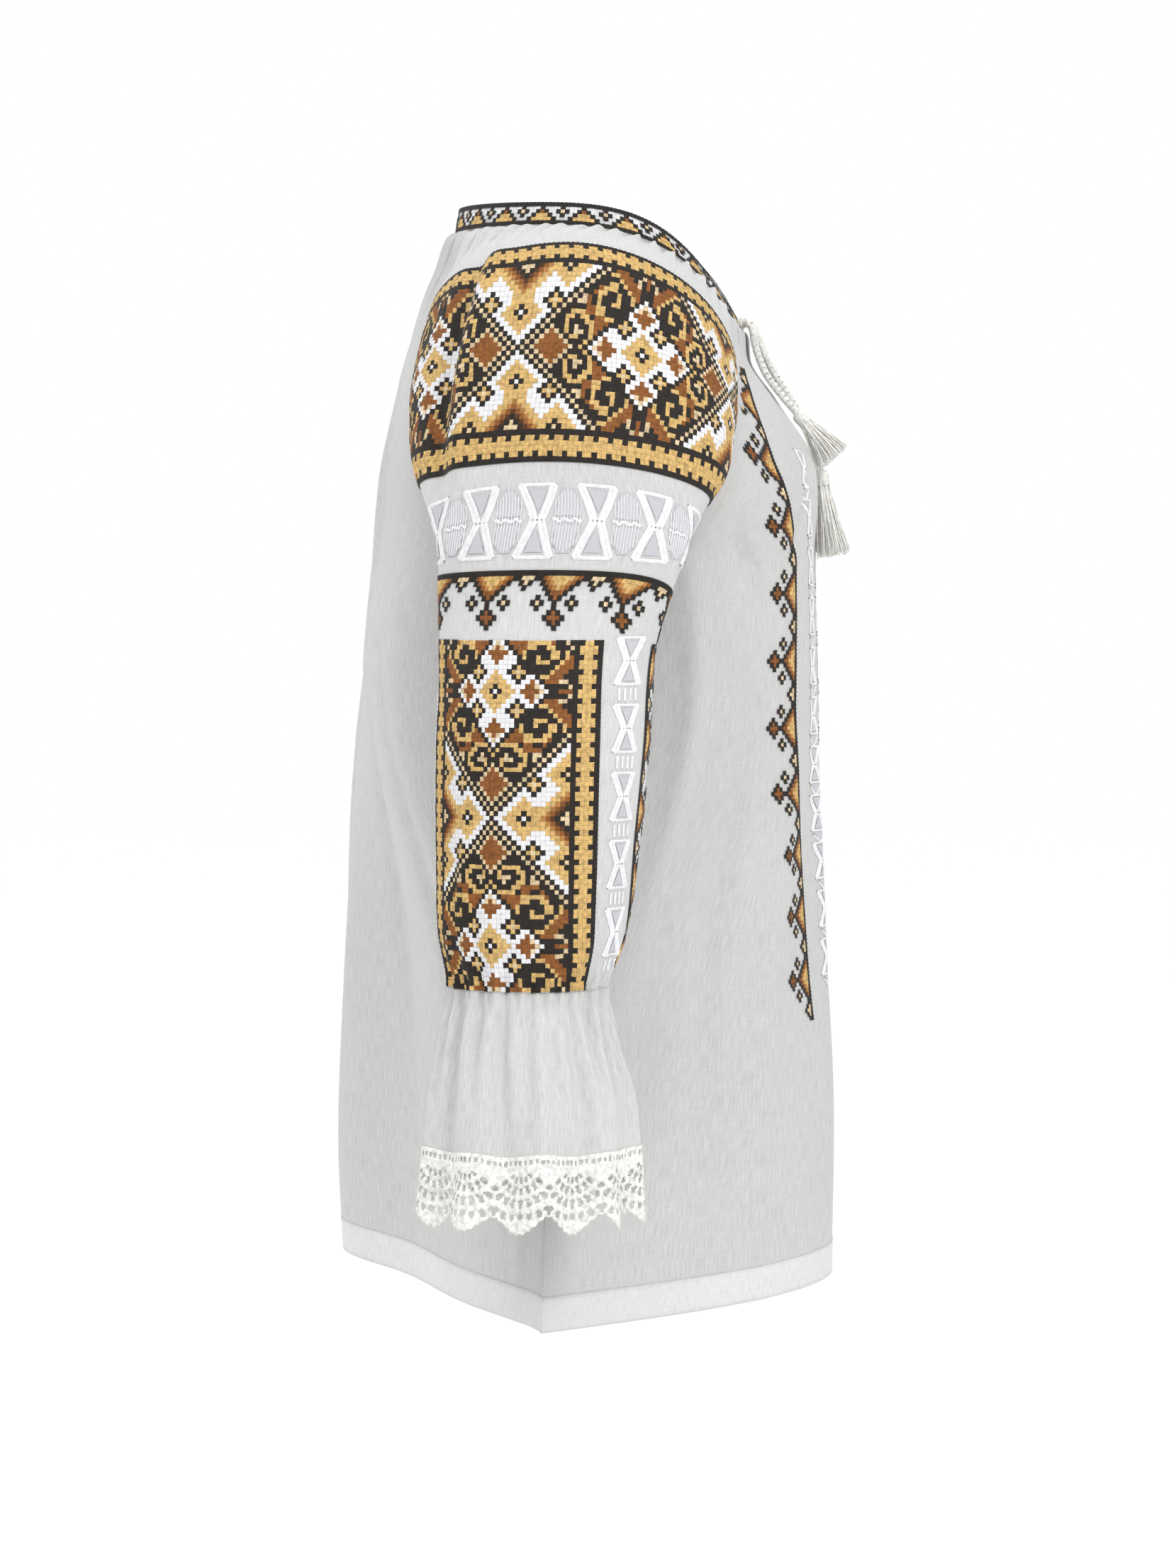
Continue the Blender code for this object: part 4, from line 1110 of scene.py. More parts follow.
# Cross-stitch: one raised pad for each stitch, highest along the two threads that cross
STITCH_LIFTS = np.array([[0.48, 0.12, 0.48], [0.12, 0.62, 0.12], [0.48, 0.12, 0.48]]) * 0.001
STITCH_SHRINK = 0.97
STITCH_UNEVENNESS = 0.14
BLACK_SPREAD = 1.24
BLACK_RISE = 0.00006
PAD_FACES = np.array([
    (0, 3, 4), (0, 4, 1), (1, 4, 2), (2, 4, 5), (3, 6, 4), (6, 7, 4), (4, 7, 8), (4, 8, 5),
])
THREAD_COLOURS = {
    "K": ("black", (0.022, 0.018, 0.015)),
    "B": ("brown", (0.270, 0.096, 0.022)),
    "D": ("dark_brown", (0.100, 0.036, 0.013)),
    "G": ("gold_brown", (0.470, 0.215, 0.060)),
    "Y": ("golden", (0.690, 0.455, 0.170)),
    "E": ("beige", (0.720, 0.560, 0.340)),
    "W": ("white", (0.760, 0.760, 0.780)),
}

# Spirals of the shoulder panel, from their top row down, with the column they start at
SMALL_SPIRAL_LEFT, SMALL_SPIRAL_TOP = 9, 8
SMALL_SPIRAL = (
    "KKKKKKKY", "KKYYYKKY", "KYYKYYKB", "KYKKKYYB", "KYKEKKYB", "KYKEEKYB", "EKYYKKYB", "BEKKKYBB",
    "BBEEYKBB",
)
LARGE_SPIRAL_LEFT, LARGE_SPIRAL_TOP = 14, 16
LARGE_SPIRAL = (
    "KKBBBBBBBBB", "KKBYYYBBBBB", "KKBKKKYBBBB", "KKKKYYKYBBB", "KKBYYYKKYBB", "KBYYKKYKKYB",
    "BKYKKKYKKYB", "BKYKKYYKKYB", "BBYYKKKKYBB", "BBYYKKKYBBB",
)
CHART_PERIOD = 52
CHART_HALF = 26
CHART_ROWS = 22


def in_rows(rows, left, top, column, row):
    """The stitch that a small table of rows has at a place, or None outside it."""
    down, along = top - row, column - left
    if 0 <= down < len(rows) and 0 <= along < len(rows[down]):
        return rows[down][along]
    return None


def flower(column, row, middle, centre):
    """A black ring of stitches round a light centre."""
    reach = abs(column - middle[0]) + abs(row - middle[1])
    if reach == 0:
        return centre
    if reach == 1:
        return "Y"
    return "K" if reach == 2 else None


def border_stitch(column, height):
    """The beaded border above and below a panel."""
    if height in (17, 22):
        return "K"
    if height in (18, 21):
        return "K" if column % 3 == 0 else "Y"
    return "Y"


def neck_side(x, y):
    """Between the arms of the crossing, on the side of the borders."""
    d = y - x
    found = flower(x, y, (7, 9), "E")
    if found:
        return found
    if y >= 15 + abs(x - 9):
        return "E" if (x, y) == (9, 16) else "K"
    ring = x + abs(y - 7)
    if ring == 0:
        return "W"
    if ring == 1:
        return "K"
    on_neck = y >= 9 and x <= 2 + max(0, y - 11)
    if on_neck and d >= 11:
        if d >= 14:
            return "E" if (x, y) in ((0, 15), (0, 16), (1, 16)) else "K"
        return {11: "G", 12: "B", 13: "D"}[d]
    if ring <= 4 or on_neck or (y >= 12 + abs(x - 9) and d >= 3):
        return "Y"
    return "W"


def arm_side(x, y):
    """Beyond the arms of the crossing, where the spirals and the large diamonds are."""
    reach = (CHART_HALF - x) + y
    if reach == 12:
        return "K"
    if reach < 12:
        found = flower(x, y, (22, 5), "E")
        if found:
            return found
        if abs(x - 18) + y <= 2:
            return "E" if (x, y) in ((16, 0), (17, 1)) else "B"
        if (CHART_HALF - x) + abs(y - 8) <= 2:
            return "E" if (x, y) in ((26, 10), (25, 9)) else "B"
        if reach == 0:
            return "W"
        if reach == 1:
            return "K"
        return "Y" if reach <= 4 else "W"
    if (CHART_HALF - x) + (17 - y) <= 5:
        if (x, y) in ((24, 14), (24, 15), (25, 16)):
            return "E"
        return "B" if x == 26 and y >= 14 else "K"
    if (CHART_HALF - x) + min(abs(y - 12), abs(y - 13)) <= 1:
        return "K"
    small = abs(x - 7) + y
    if small <= 5:
        return "B" if small < 4 else ("E" if small == 4 else "K")
    found = in_rows(LARGE_SPIRAL, LARGE_SPIRAL_LEFT, LARGE_SPIRAL_TOP, x, y)
    if found:
        return found
    found = in_rows(SMALL_SPIRAL, SMALL_SPIRAL_LEFT, SMALL_SPIRAL_TOP, x, y)
    if found:
        return found
    if y == 6 and x in (18, 19, 20):
        return "Y"
    d = y - x
    if (x, y) in ((13, 10), (13, 9), (12, 9)):
        return "E"
    return "K" if -4 <= d <= -3 and 8 <= x <= 15 else "B"


def panel_stitch(column, row):
    """The worked panel's thread at a column and row counted from a crossing."""
    y = abs(row)
    x = (column + CHART_HALF) % CHART_PERIOD - CHART_HALF
    x = abs(x)
    if y >= 17:
        return border_stitch(column, y)
    d = y - x
    if d >= 1:
        return neck_side(x, y)
    if d >= -2:
        return "E" if d == -1 else "K"
    return arm_side(x, y)


BAND_PERIOD = 16
BAND_ROWS = 13


def edging_stitch(column, row):
    """A line of triangles hanging from a black line, with a flower each side of each tip."""
    if row <= 1:
        return "K" if row == 1 else None
    x = (column + BAND_PERIOD // 2) % BAND_PERIOD - BAND_PERIOD // 2
    width = 5 - (row - 2)
    if 2 <= row <= 7 and abs(x) <= width:
        inner = width - abs(x)
        if inner == 0:
            return "K"
        if inner == 1 or row >= 5:
            return "B"
        return "G" if inner == 2 else "Y"
    drop = abs(x) + abs(row - 10)
    if drop <= 2:
        return "K" if drop == 2 else "B"
    petal = abs(abs(x) - 4) + abs(row - 7)
    if petal <= 1:
        return "K" if petal else "E"
    small = abs(abs(x) - 8)
    if row == 2 and small <= 2:
        return "K" if small == 2 else "E"
    if row == 3 and small <= 1:
        return "K" if small else "E"
    return "K" if row == 4 and small == 0 else None


def neck_stitch(column, row):
    """The neck band's triangles, which stand on its black foot line."""
    if row == 0:
        return "K"
    x = (column + 5) % 10 - 5
    if row <= 4 and abs(x) <= 3 - (row - 1) * 0.75:
        return "K" if abs(x) >= 2.2 - (row - 1) * 0.75 else ("Y" if row <= 2 else "B")
    petal = abs(abs(x) - 5) + abs(row - 3)
    if petal <= 1:
        return "K" if petal else "E"
    return "K" if row == 5 else None


class Field:
    """Cloth read out flat: points and outward ways by distance down and distance along."""

    def __init__(self, downs, alongs, points, outs, lows, highs):
        self.downs, self.alongs = downs, alongs
        self.points, self.outs = points, outs
        self.lows, self.highs = lows, highs

    def at(self, down, along, lift):
        down, along, lift = np.broadcast_arrays(down, along, lift)
        row, col = (
            np.clip(np.interp(at, marks, np.arange(len(marks))), 0, len(marks) - 1.001)
            for at, marks in ((down, self.downs), (along, self.alongs))
        )
        r, c = row.astype(int), col.astype(int)
        fr, fc = (row - r)[..., None], (col - c)[..., None]

        def blend(grid):
            upper = grid[r, c] * (1 - fc) + grid[r, c + 1] * fc
            lower = grid[r + 1, c] * (1 - fc) + grid[r + 1, c + 1] * fc
            return upper * (1 - fr) + lower * fr

        return blend(self.points) + unit(blend(self.outs)) * lift[..., None]

    def inside(self, down, along):
        low = np.interp(down, self.downs, self.lows)
        high = np.interp(down, self.downs, self.highs)
        return (along > low) & (along < high)


def lay_field(
    surface, plain, downs, alongs, level_at, zero_arc, over, nominal=None, margin=0.002,
    squeeze=1.0,
):
    """Lay a flat patch on a surface, row by row, with its columns at true distances.

    plain is the surface without its fine gathers, which the distances are measured on. nominal is
    the way round that the columns were counted on, where a patch goes all the way round. squeeze
    narrows the columns behind the middle, where a long fold takes up some of the cloth.
    """
    points, outs, lows, highs = [], [], [], []
    for down in downs:
        arc = arc_along(plain(level_at(down, over), over))
        total = arc[-1]
        zero = zero_arc(down)
        stretch = total / nominal if nominal else 1.0
        places = zero - np.where(alongs < 0, alongs * squeeze, alongs) * stretch
        if nominal:
            places = places % total
        across = np.interp(places, arc, over)
        level = level_at(down, across)
        flat = surface(level, across, 0.0)
        points.append(flat)
        outs.append(unit(surface(level, across, FURTHER_OUT) - flat))
        lows.append(-9.0 if nominal else zero - total + margin)
        highs.append(9.0 if nominal else zero - margin)
    return Field(downs, alongs, np.array(points), np.array(outs), np.array(lows), np.array(highs))


def lay_stitches(masses, field, pitch, columns, rows, letter_at, pitch_along=None):
    """Add a pad for each stitch of a chart. columns run along the field and rows down it."""
    wide = pitch_along or pitch
    steps = np.array([-0.5, 0.0, 0.5]) * STITCH_SHRINK
    by_thread = {}
    for row in rows:
        for column in columns:
            letter = letter_at(column, row)
            if letter:
                by_thread.setdefault(letter, []).append((row, column))
    for letter, places in by_thread.items():
        places = np.array(places, dtype=float)
        spread, rise = (BLACK_SPREAD, BLACK_RISE) if letter == "K" else (1.0, 0.0)
        down = places[:, 0, None, None] * pitch + steps[None, :, None] * pitch * spread
        along = places[:, 1, None, None] * wide + steps[None, None, :] * wide * spread
        down, along = np.broadcast_arrays(down, along)
        keep = field.inside(down, along).all(axis=(1, 2))
        if not keep.any():
            continue
        kept = places[keep]
        height = 1 + STITCH_UNEVENNESS * np.sin(kept[:, 0] * 5.3 + kept[:, 1] * 3.7)
        lifts = STITCH_LIFTS[None] * height[:, None, None] + rise
        points = field.at(down[keep], along[keep], lifts)
        masses.setdefault(letter, Mass()).add_pads(points.reshape(-1, 9, 3))


class Bars:
    """Straight satin bars and flat patches laid on a field, in metres down and along."""

    def __init__(self, mass, field):
        self.mass, self.field = mass, field

    def patch(self, corners, lift, cuts=3):
        """A four-sided patch. A triangle repeats one corner."""
        corners = np.array(corners, dtype=float)
        if not self.field.inside(corners[:, 0], corners[:, 1]).all():
            return
        u = np.linspace(0, 1, cuts + 1)[:, None, None]
        v = np.linspace(0, 1, cuts + 1)[None, :, None]
        a, b, c, d = corners
        flat = (a * (1 - u) + b * u) * (1 - v) + (d * (1 - u) + c * u) * v
        points = self.field.at(flat[..., 0], flat[..., 1], lift)
        self.mass.add(points, grid_faces(cuts + 1, cuts + 1))

    def bar(self, start, end, width, lift=0.0005, pieces=5):
        """A raised bar with a rounded back from start to end, each given as down and along."""
        start, end = np.array(start, dtype=float), np.array(end, dtype=float)
        if not self.field.inside(*start) or not self.field.inside(*end):
            return
        way = (end - start) / max(np.linalg.norm(end - start), 1e-9)
        side = np.array([-way[1], way[0]]) * width / 2
        share = np.linspace(0, 1, pieces + 1)[:, None, None]
        line = start * (1 - share) + end * share
        offsets = np.array([-1.0, -0.6, 0.0, 0.6, 1.0])[None, :, None]
        heights = np.array([0.0, 0.75, 1.0, 0.75, 0.0]) * lift
        flat = line + side * offsets
        points = self.field.at(flat[..., 0], flat[..., 1], heights)
        self.mass.add(points, grid_faces(pieces + 1, len(heights)))


class Whitework:
    """Satin bars in white thread, with grey patches where threads are drawn from the cloth; their grey is painted
    shade seen through the open cloth.
    """

    def __init__(self):
        self.white, self.grey = Mass(), Mass()

    def on(self, field):
        return Bars(self.white, field), Bars(self.grey, field)

    def finished(self, label, threads, openwork):
        white = self.white.finished("whitework_" + label, threads["W"])
        # The grey patches are painted shade in the drawn-thread openings
        grey = self.grey.finished("openings_" + label, openwork)
        return [seat(white, "white_thread"), seat(grey, "cotton_voile")]


# Whitework motifs. Sizes that aren't shares of a motif's height or width are in metres.
RIBBON_WIDTH = 0.0024
RIBBON_CROSSING = 0.0008
RIM_OVERHANG = 0.002
RIM_WIDTH, RIM_LIFT = 0.0014, 0.0004
TRIANGLE_BASE, TRIANGLE_TIP, TRIANGLE_HALF = 0.86, 0.22, 0.62
TRIANGLE_LIFT = 0.00022
OPENED_NEAR, OPENED_FAR = 0.06, 0.44
OPENED_NEAR_HALF, OPENED_FAR_HALF = 0.46, 0.22
OPENED_LIFT = 0.00018
DRAWN_BARS = 9
DRAWN_BAR_SPACES = 9.5
DRAWN_BAR_SHORTENING = 0.035
DRAWN_BAR_WIDTH, DRAWN_BAR_LIFT = 0.0007, 0.00045
WAVE_MARKS = 9
WAVE_SWING = 0.0008
WAVE_TURN = 18
WAVE_WIDTH, WAVE_LIFT = 0.0012, 0.0006
CHEVRON_TOP, CHEVRON_BAR_TOP, CHEVRON_TIP = 0.012, 0.013, 0.019
CHEVRON_HALF, CHEVRON_BAR_HALF = 0.008, 0.009
CHEVRON_LIFT = 0.00015


def hourglass(white, grey, down, along, tall, wide):
    """Satin ribbons crossed between two drawn-thread triangles, one above and one below, which are grey patches of
    painted shade.
    """
    half_t, half_w = tall / 2, wide / 2
    spread = half_w * TRIANGLE_HALF
    for way in (-1, 1):
        base = down + way * half_t * TRIANGLE_BASE
        tip = (down + way * half_t * TRIANGLE_TIP, along)
        grey.patch(((base, along - spread), (base, along + spread), tip, tip), TRIANGLE_LIFT)
        edge = down + way * half_t
        for side in (-1, 1):
            for shift in (0.0, RIBBON_WIDTH):
                white.bar(
                    (edge, along + side * (half_w + shift)),
                    (down, along + side * (RIBBON_CROSSING + shift)), RIBBON_WIDTH,
                )
        white.bar(
            (edge, along - half_w - RIM_OVERHANG), (edge, along + half_w + RIM_OVERHANG),
            RIM_WIDTH, RIM_LIFT,
        )


def drawn_bars(white, grey, down, along, tall, wide):
    """Drawn-thread bars: fine white threads over a grey opened strip of painted shade, and a waved mid line."""
    for way in (-1, 1):
        low, high = down + way * tall * OPENED_NEAR, down + way * tall * OPENED_FAR
        grey.patch(
            (
                (low, along - wide * OPENED_NEAR_HALF), (low, along + wide * OPENED_NEAR_HALF),
                (high, along + wide * OPENED_FAR_HALF), (high, along - wide * OPENED_FAR_HALF),
            ),
            OPENED_LIFT,
        )
    middle = DRAWN_BARS // 2
    for number in range(DRAWN_BARS):
        place = along + wide * (number - middle) / DRAWN_BAR_SPACES
        reach = tall * (OPENED_FAR - DRAWN_BAR_SHORTENING * abs(number - middle))
        white.bar((down - reach, place), (down + reach, place), DRAWN_BAR_WIDTH, DRAWN_BAR_LIFT)
    marks = np.linspace(-0.5, 0.5, WAVE_MARKS)
    for near, far in zip(marks, marks[1:]):
        start, end = (
            (down + WAVE_SWING * math.sin(mark * WAVE_TURN), along + mark * wide)
            for mark in (near, far)
        )
        white.bar(start, end, WAVE_WIDTH, WAVE_LIFT, 2)


def chevron(white, grey, down):
    """A drawn-thread triangle of painted grey shade between two hourglasses, with a bar down each of its sides."""
    top, tip = down + CHEVRON_TOP, (down + CHEVRON_TIP, 0.0)
    grey.patch(((top, -CHEVRON_HALF), (top, CHEVRON_HALF), tip, tip), CHEVRON_LIFT)
    for beside in (-CHEVRON_BAR_HALF, CHEVRON_BAR_HALF):
        white.bar((down + CHEVRON_BAR_TOP, beside), tip, RIM_WIDTH)


# Where the work lies on the cloth, from the photo
PANEL_PITCH = 0.0028
PANEL_ROW_MARKS = (-22.5, -17, -7, 0, 7, 17, 22.5)
PANEL_ROW_LEVELS = (0.797, 0.726, 0.609, 0.532, 0.452, 0.318, 0.255)
PANEL_ZERO_MARKS = (-22.5, 0, 22.5)
PANEL_ZERO_ARCS = (0.1545, 0.180, 0.185)
PANEL_SHEAR = 0.03
PANEL_SHEAR_MIDDLE = 0.586
CENTRE_PITCH = 0.00268
CENTRE_SQUEEZE = 0.80
CENTRE_TOP_Z, CENTRE_ABOVE, CENTRE_BELOW = -0.2515, 36, 35
BAND_LEVEL = 1.045
BAND_DIP = 0.041
BAND_DIP_MIDDLE, BAND_DIP_WIDTH = 0.20, 0.13
BAND_REPEATS = 8
BAND_NOMINAL = 0.320
BAND_PITCH = BAND_NOMINAL / (BAND_REPEATS * BAND_PERIOD)
BAND_ZERO_ARC = 0.190
WHITE_BAND_LEVEL = 0.938
WHITE_BAND_TALL = 0.026
WHITE_BAND_SCALE = 0.155
WHITE_BAND_MIDDLE = 0.53
WHITE_BAND_PERIOD = 0.034
STRIP_LINE = (
    (0.268, -0.873), (0.453, -0.800), (0.600, -0.650), (0.713, -0.530), (0.833, -0.430),
    (0.940, -0.385), (1.052, -0.385), (1.130, -0.392), (1.195, -0.390), (1.292, -0.340),
    (1.443, -0.225), (1.647, -0.152),
)
STRIP_PITCH = 0.0025
STRIP_START, STRIP_END = 13, 11
STRIP_REACH_IN, STRIP_REACH_OUT = 0.004, 0.036
STRIP_STEP = 0.0013
CENTRE_ACROSS = 0.565
CENTRE_DRIFT = 0.009
PANEL_COLUMNS = range(-47, 65)
EDGING_DEPTH = 0.036
ARM_EDGING_COLUMNS = range(1, 73)
ARM_EDGING_START = 6
ARM_EDGING_REACH = 0.032
ARM_EDGING_FROM_CENTRE = 0.094
ARM_STRIP_DRIFT = 0.05
ARM_STRIP_PERIOD = 0.0375
ARM_STRIP_REPEATS = 5
ARM_STRIP_TOP = 0.010
ARM_STRIP_TALL, ARM_STRIP_WIDE = 0.026, 0.014
ARM_STRIP_REACH = 0.011
ARM_STRIP_FROM_CENTRE = 0.078
LADDER_PLACES = (-0.006, -0.002, 0.002, 0.006)
LADDER_HALF, LADDER_BAR = 0.0035, 0.0017
WHITE_BAND_WIDE = 0.017
FRONT_WHITE_SHARE = 0.52
FRONT_WHITE_REACH = 0.013
FRONT_WHITE_TOP, FRONT_WHITE_BOTTOM = 0.060, 0.020
FRONT_WHITE_PERIOD = 0.030
FRONT_WHITE_TALL, FRONT_WHITE_WIDE = 0.022, 0.018
NECK_STITCH = 0.0026
NECK_ROWS = 6
NECK_END_MARGIN = 0.001
ACROSS_SLEEVE = np.linspace(0, 1, 241)
ACROSS_RING = np.linspace(0, 1, 361)


def sleeve_arc(side, level_at, down, across):
    """Distance round a sleeve from its front seam to a place across."""
    line = sleeve_surface(side, level_at(down, ACROSS_SLEEVE), ACROSS_SLEEVE)
    return float(np.interp(across, ACROSS_SLEEVE, arc_along(line)))


def lay_on_sleeve(side, downs, alongs, level_at, zero_arc, over=ACROSS_SLEEVE, **options):
    def plain(level, across):
        return sleeve_surface(side, level, across)

    def dressed(level, across, lift):
        return dressed_sleeve(side, level, across, lift)

    return lay_field(dressed, plain, downs, alongs, level_at, zero_arc, over, **options)


def panel_field(side):
    """A patch over the shoulder piece for its worked panel, with rows counted from a crossing."""
    rows = np.linspace(23.0, -23.0, 139)
    alongs = np.arange(-48.0, 66.01, 0.5) * PANEL_PITCH

    def level_at(down, across):
        row = -down / PANEL_PITCH
        level = cubic_through(PANEL_ROW_MARKS, PANEL_ROW_LEVELS, np.array([row]))[0]
        return level + PANEL_SHEAR * (PANEL_SHEAR_MIDDLE - across)

    def zero_arc(down):
        row = np.array([-down / PANEL_PITCH])
        return float(cubic_through(PANEL_ZERO_MARKS, PANEL_ZERO_ARCS, row)[0])

    return lay_on_sleeve(side, -rows * PANEL_PITCH, alongs, level_at, zero_arc)


def centre_field(side):
    """A patch down the outside of the arm for its worked panel."""
    downs = np.linspace(-(CENTRE_ABOVE + 1), CENTRE_BELOW + 1, 149) * CENTRE_PITCH
    alongs = np.arange(-24.0, 24.01, 0.5) * CENTRE_PITCH
    middle_z = CENTRE_TOP_Z - CENTRE_ABOVE * CENTRE_PITCH

    def level_at(down, across):
        return float(arm_level(middle_z - down)) + 0 * across

    def zero_arc(down):
        share = (down / CENTRE_PITCH + CENTRE_ABOVE) / (CENTRE_ABOVE + CENTRE_BELOW)
        return sleeve_arc(side, level_at, down, CENTRE_ACROSS - CENTRE_DRIFT * share)

    return lay_on_sleeve(side, downs, alongs, level_at, zero_arc, squeeze=CENTRE_SQUEEZE)


def ring_field(side, level, dip, depth):
    """A patch all the way round a sleeve below the underarm."""
    downs = np.linspace(-0.002, depth, int(depth / 0.0012))
    alongs = np.linspace(-0.002, BAND_NOMINAL + 0.002, 325)
    top, wrist = ARM_TABLE[0].z, WRIST_Z

    def level_at(down, across):
        sag = dip * np.exp(-(((across - BAND_DIP_MIDDLE) / BAND_DIP_WIDTH) ** 2))
        return level + sag + down / (top - wrist)

    return lay_on_sleeve(
        side, downs, alongs, level_at, lambda down: BAND_ZERO_ARC, ACROSS_RING,
        nominal=BAND_NOMINAL,
    )


def white_band_field(side):
    """A patch over the shoulder piece between the worked panel and the ring seam."""
    downs = np.linspace(-0.020, 0.020, 35)
    alongs = np.arange(-0.17, 0.17, 0.0016)

    def level_at(down, across):
        return WHITE_BAND_LEVEL + down / WHITE_BAND_SCALE + 0.012 * (0.5 - across)

    def zero_arc(down):
        return sleeve_arc(side, level_at, down, WHITE_BAND_MIDDLE)

    return lay_on_sleeve(side, downs, alongs, level_at, zero_arc, margin=0.004)


def strip_field(side, share, reach_in, reach_out):
    """A patch along the front strip. share 1 is its black line and 0 the centre front."""
    marks = np.array(STRIP_LINE)
    fine = np.linspace(marks[0, 0], marks[-1, 0], 400)
    line_over = cubic_through(marks[:, 0], marks[:, 1], fine)
    arc = arc_along(body_surface(True, fine, -line_over * side * share))
    downs = np.arange(0, arc[-1], STRIP_STEP)
    alongs = np.arange(-reach_in, reach_out, STRIP_STEP)
    over = np.linspace(0, 1, 161)

    def level_at(down, across):
        return float(np.interp(down, arc, fine)) + 0 * across

    def plain(level, across):
        return body_surface(True, level, across * side)

    def zero_arc(down):
        level = float(np.interp(down, arc, fine))
        place = -float(np.interp(level, fine, line_over)) * share
        lengths = arc_along(plain(level + 0 * over, over))
        return float(np.interp(place, over, lengths))

    def surface(level, across, lift):
        return dressed_body(True, level, across * side, lift)

    return lay_field(surface, plain, downs, -alongs[::-1], level_at, zero_arc, over), arc[-1]


def stitch_pieces(masses, label, threads):
    """One piece for each thread colour of a region."""
    made = []
    for letter, mass in masses.items():
        name = "stitches_" + label + "_" + THREAD_COLOURS[letter][0]
        made.append(seat(mass.finished(name, threads[letter]), "worked_cloth"))
    return made


def sleeve_work(side, label, threads, openwork):
    """Everything worked on one shoulder piece and sleeve."""
    chart_rows = range(-CHART_ROWS, CHART_ROWS + 1)
    shoulder = {}
    lay_stitches(shoulder, panel_field(side), PANEL_PITCH, PANEL_COLUMNS, chart_rows, panel_stitch)
    on_shoulder = stitch_pieces(shoulder, "panel_" + label, threads)
    sleeve = {}
    lay_stitches(
        sleeve, centre_field(side), CENTRE_PITCH, chart_rows,
        range(-CENTRE_ABOVE, CENTRE_BELOW + 1), lambda column, row: panel_stitch(row, column),
    )
    lay_stitches(
        sleeve, ring_field(side, BAND_LEVEL, BAND_DIP, EDGING_DEPTH), BAND_PITCH,
        range(0, BAND_REPEATS * BAND_PERIOD), range(0, BAND_ROWS), edging_stitch,
    )
    lay_stitches(
        sleeve, arm_strip_field(side, ARM_EDGING_FROM_CENTRE, ARM_EDGING_REACH), BAND_PITCH,
        range(0, BAND_ROWS), ARM_EDGING_COLUMNS,
        lambda column, row: edging_stitch(row - ARM_EDGING_START, column),
    )
    on_sleeve = stitch_pieces(sleeve, "sleeve_" + label, threads)

    work = Whitework()
    white, grey = work.on(white_band_field(side))
    for number in range(-5, 6):
        along = number * WHITE_BAND_PERIOD
        hourglass(white, grey, 0.0, along, WHITE_BAND_TALL, WHITE_BAND_WIDE)
        along += WHITE_BAND_PERIOD / 2
        drawn_bars(white, grey, 0.0, along, WHITE_BAND_TALL, WHITE_BAND_WIDE)
    on_shoulder += work.finished("shoulder_" + label, threads, openwork)

    work = Whitework()
    white, grey = work.on(arm_strip_field(side, ARM_STRIP_FROM_CENTRE, ARM_STRIP_REACH))
    for number in range(ARM_STRIP_REPEATS):
        down = ARM_STRIP_TOP + number * ARM_STRIP_PERIOD
        hourglass(white, grey, down, 0.0, ARM_STRIP_TALL, ARM_STRIP_WIDE)
        middle = down + ARM_STRIP_PERIOD / 2
        for beside in LADDER_PLACES:
            white.bar((middle - LADDER_HALF, beside), (middle + LADDER_HALF, beside), LADDER_BAR)
    on_sleeve += work.finished("sleeve_" + label, threads, openwork)
    return on_shoulder, on_sleeve


def arm_strip_field(side, from_centre, reach):
    """A strip down the sleeve in front of its worked centre panel."""
    downs = np.arange(-0.004, 0.188, 0.0015)
    alongs = np.arange(-reach, reach + 0.0001, 0.001)

    def level_at(down, across):
        return float(arm_level(CENTRE_TOP_Z - down)) + 0 * across

    def zero_arc(down):
        middle = CENTRE_ACROSS - ARM_STRIP_DRIFT * max(down, 0)
        return sleeve_arc(side, level_at, down, middle) - from_centre

    return lay_on_sleeve(side, downs, alongs, level_at, zero_arc)


def front_work(threads, openwork):
    """The two worked strips of the front and the whitework between them and the slit."""
    front, work = {}, Whitework()
    for side in (-1, 1):
        field, length = strip_field(side, 1.0, STRIP_REACH_IN, STRIP_REACH_OUT)
        ends = STRIP_START + STRIP_END
        repeats = int(length / STRIP_PITCH - ends) // BAND_PERIOD
        lay_stitches(
            front, field, STRIP_PITCH, range(-BAND_ROWS + 1, 1),
            range(1, repeats * BAND_PERIOD + ends),
            lambda column, row: edging_stitch(row - STRIP_START, -column),
        )
        strip, length = strip_field(side, FRONT_WHITE_SHARE, FRONT_WHITE_REACH, FRONT_WHITE_REACH)
        white, grey = work.on(strip)
        down = FRONT_WHITE_TOP
        while down < length - FRONT_WHITE_BOTTOM:
            hourglass(white, grey, down, 0.0, FRONT_WHITE_TALL, FRONT_WHITE_WIDE)
            chevron(white, grey, down)
            down += FRONT_WHITE_PERIOD
    return stitch_pieces(front, "front", threads) + work.finished("front", threads, openwork)


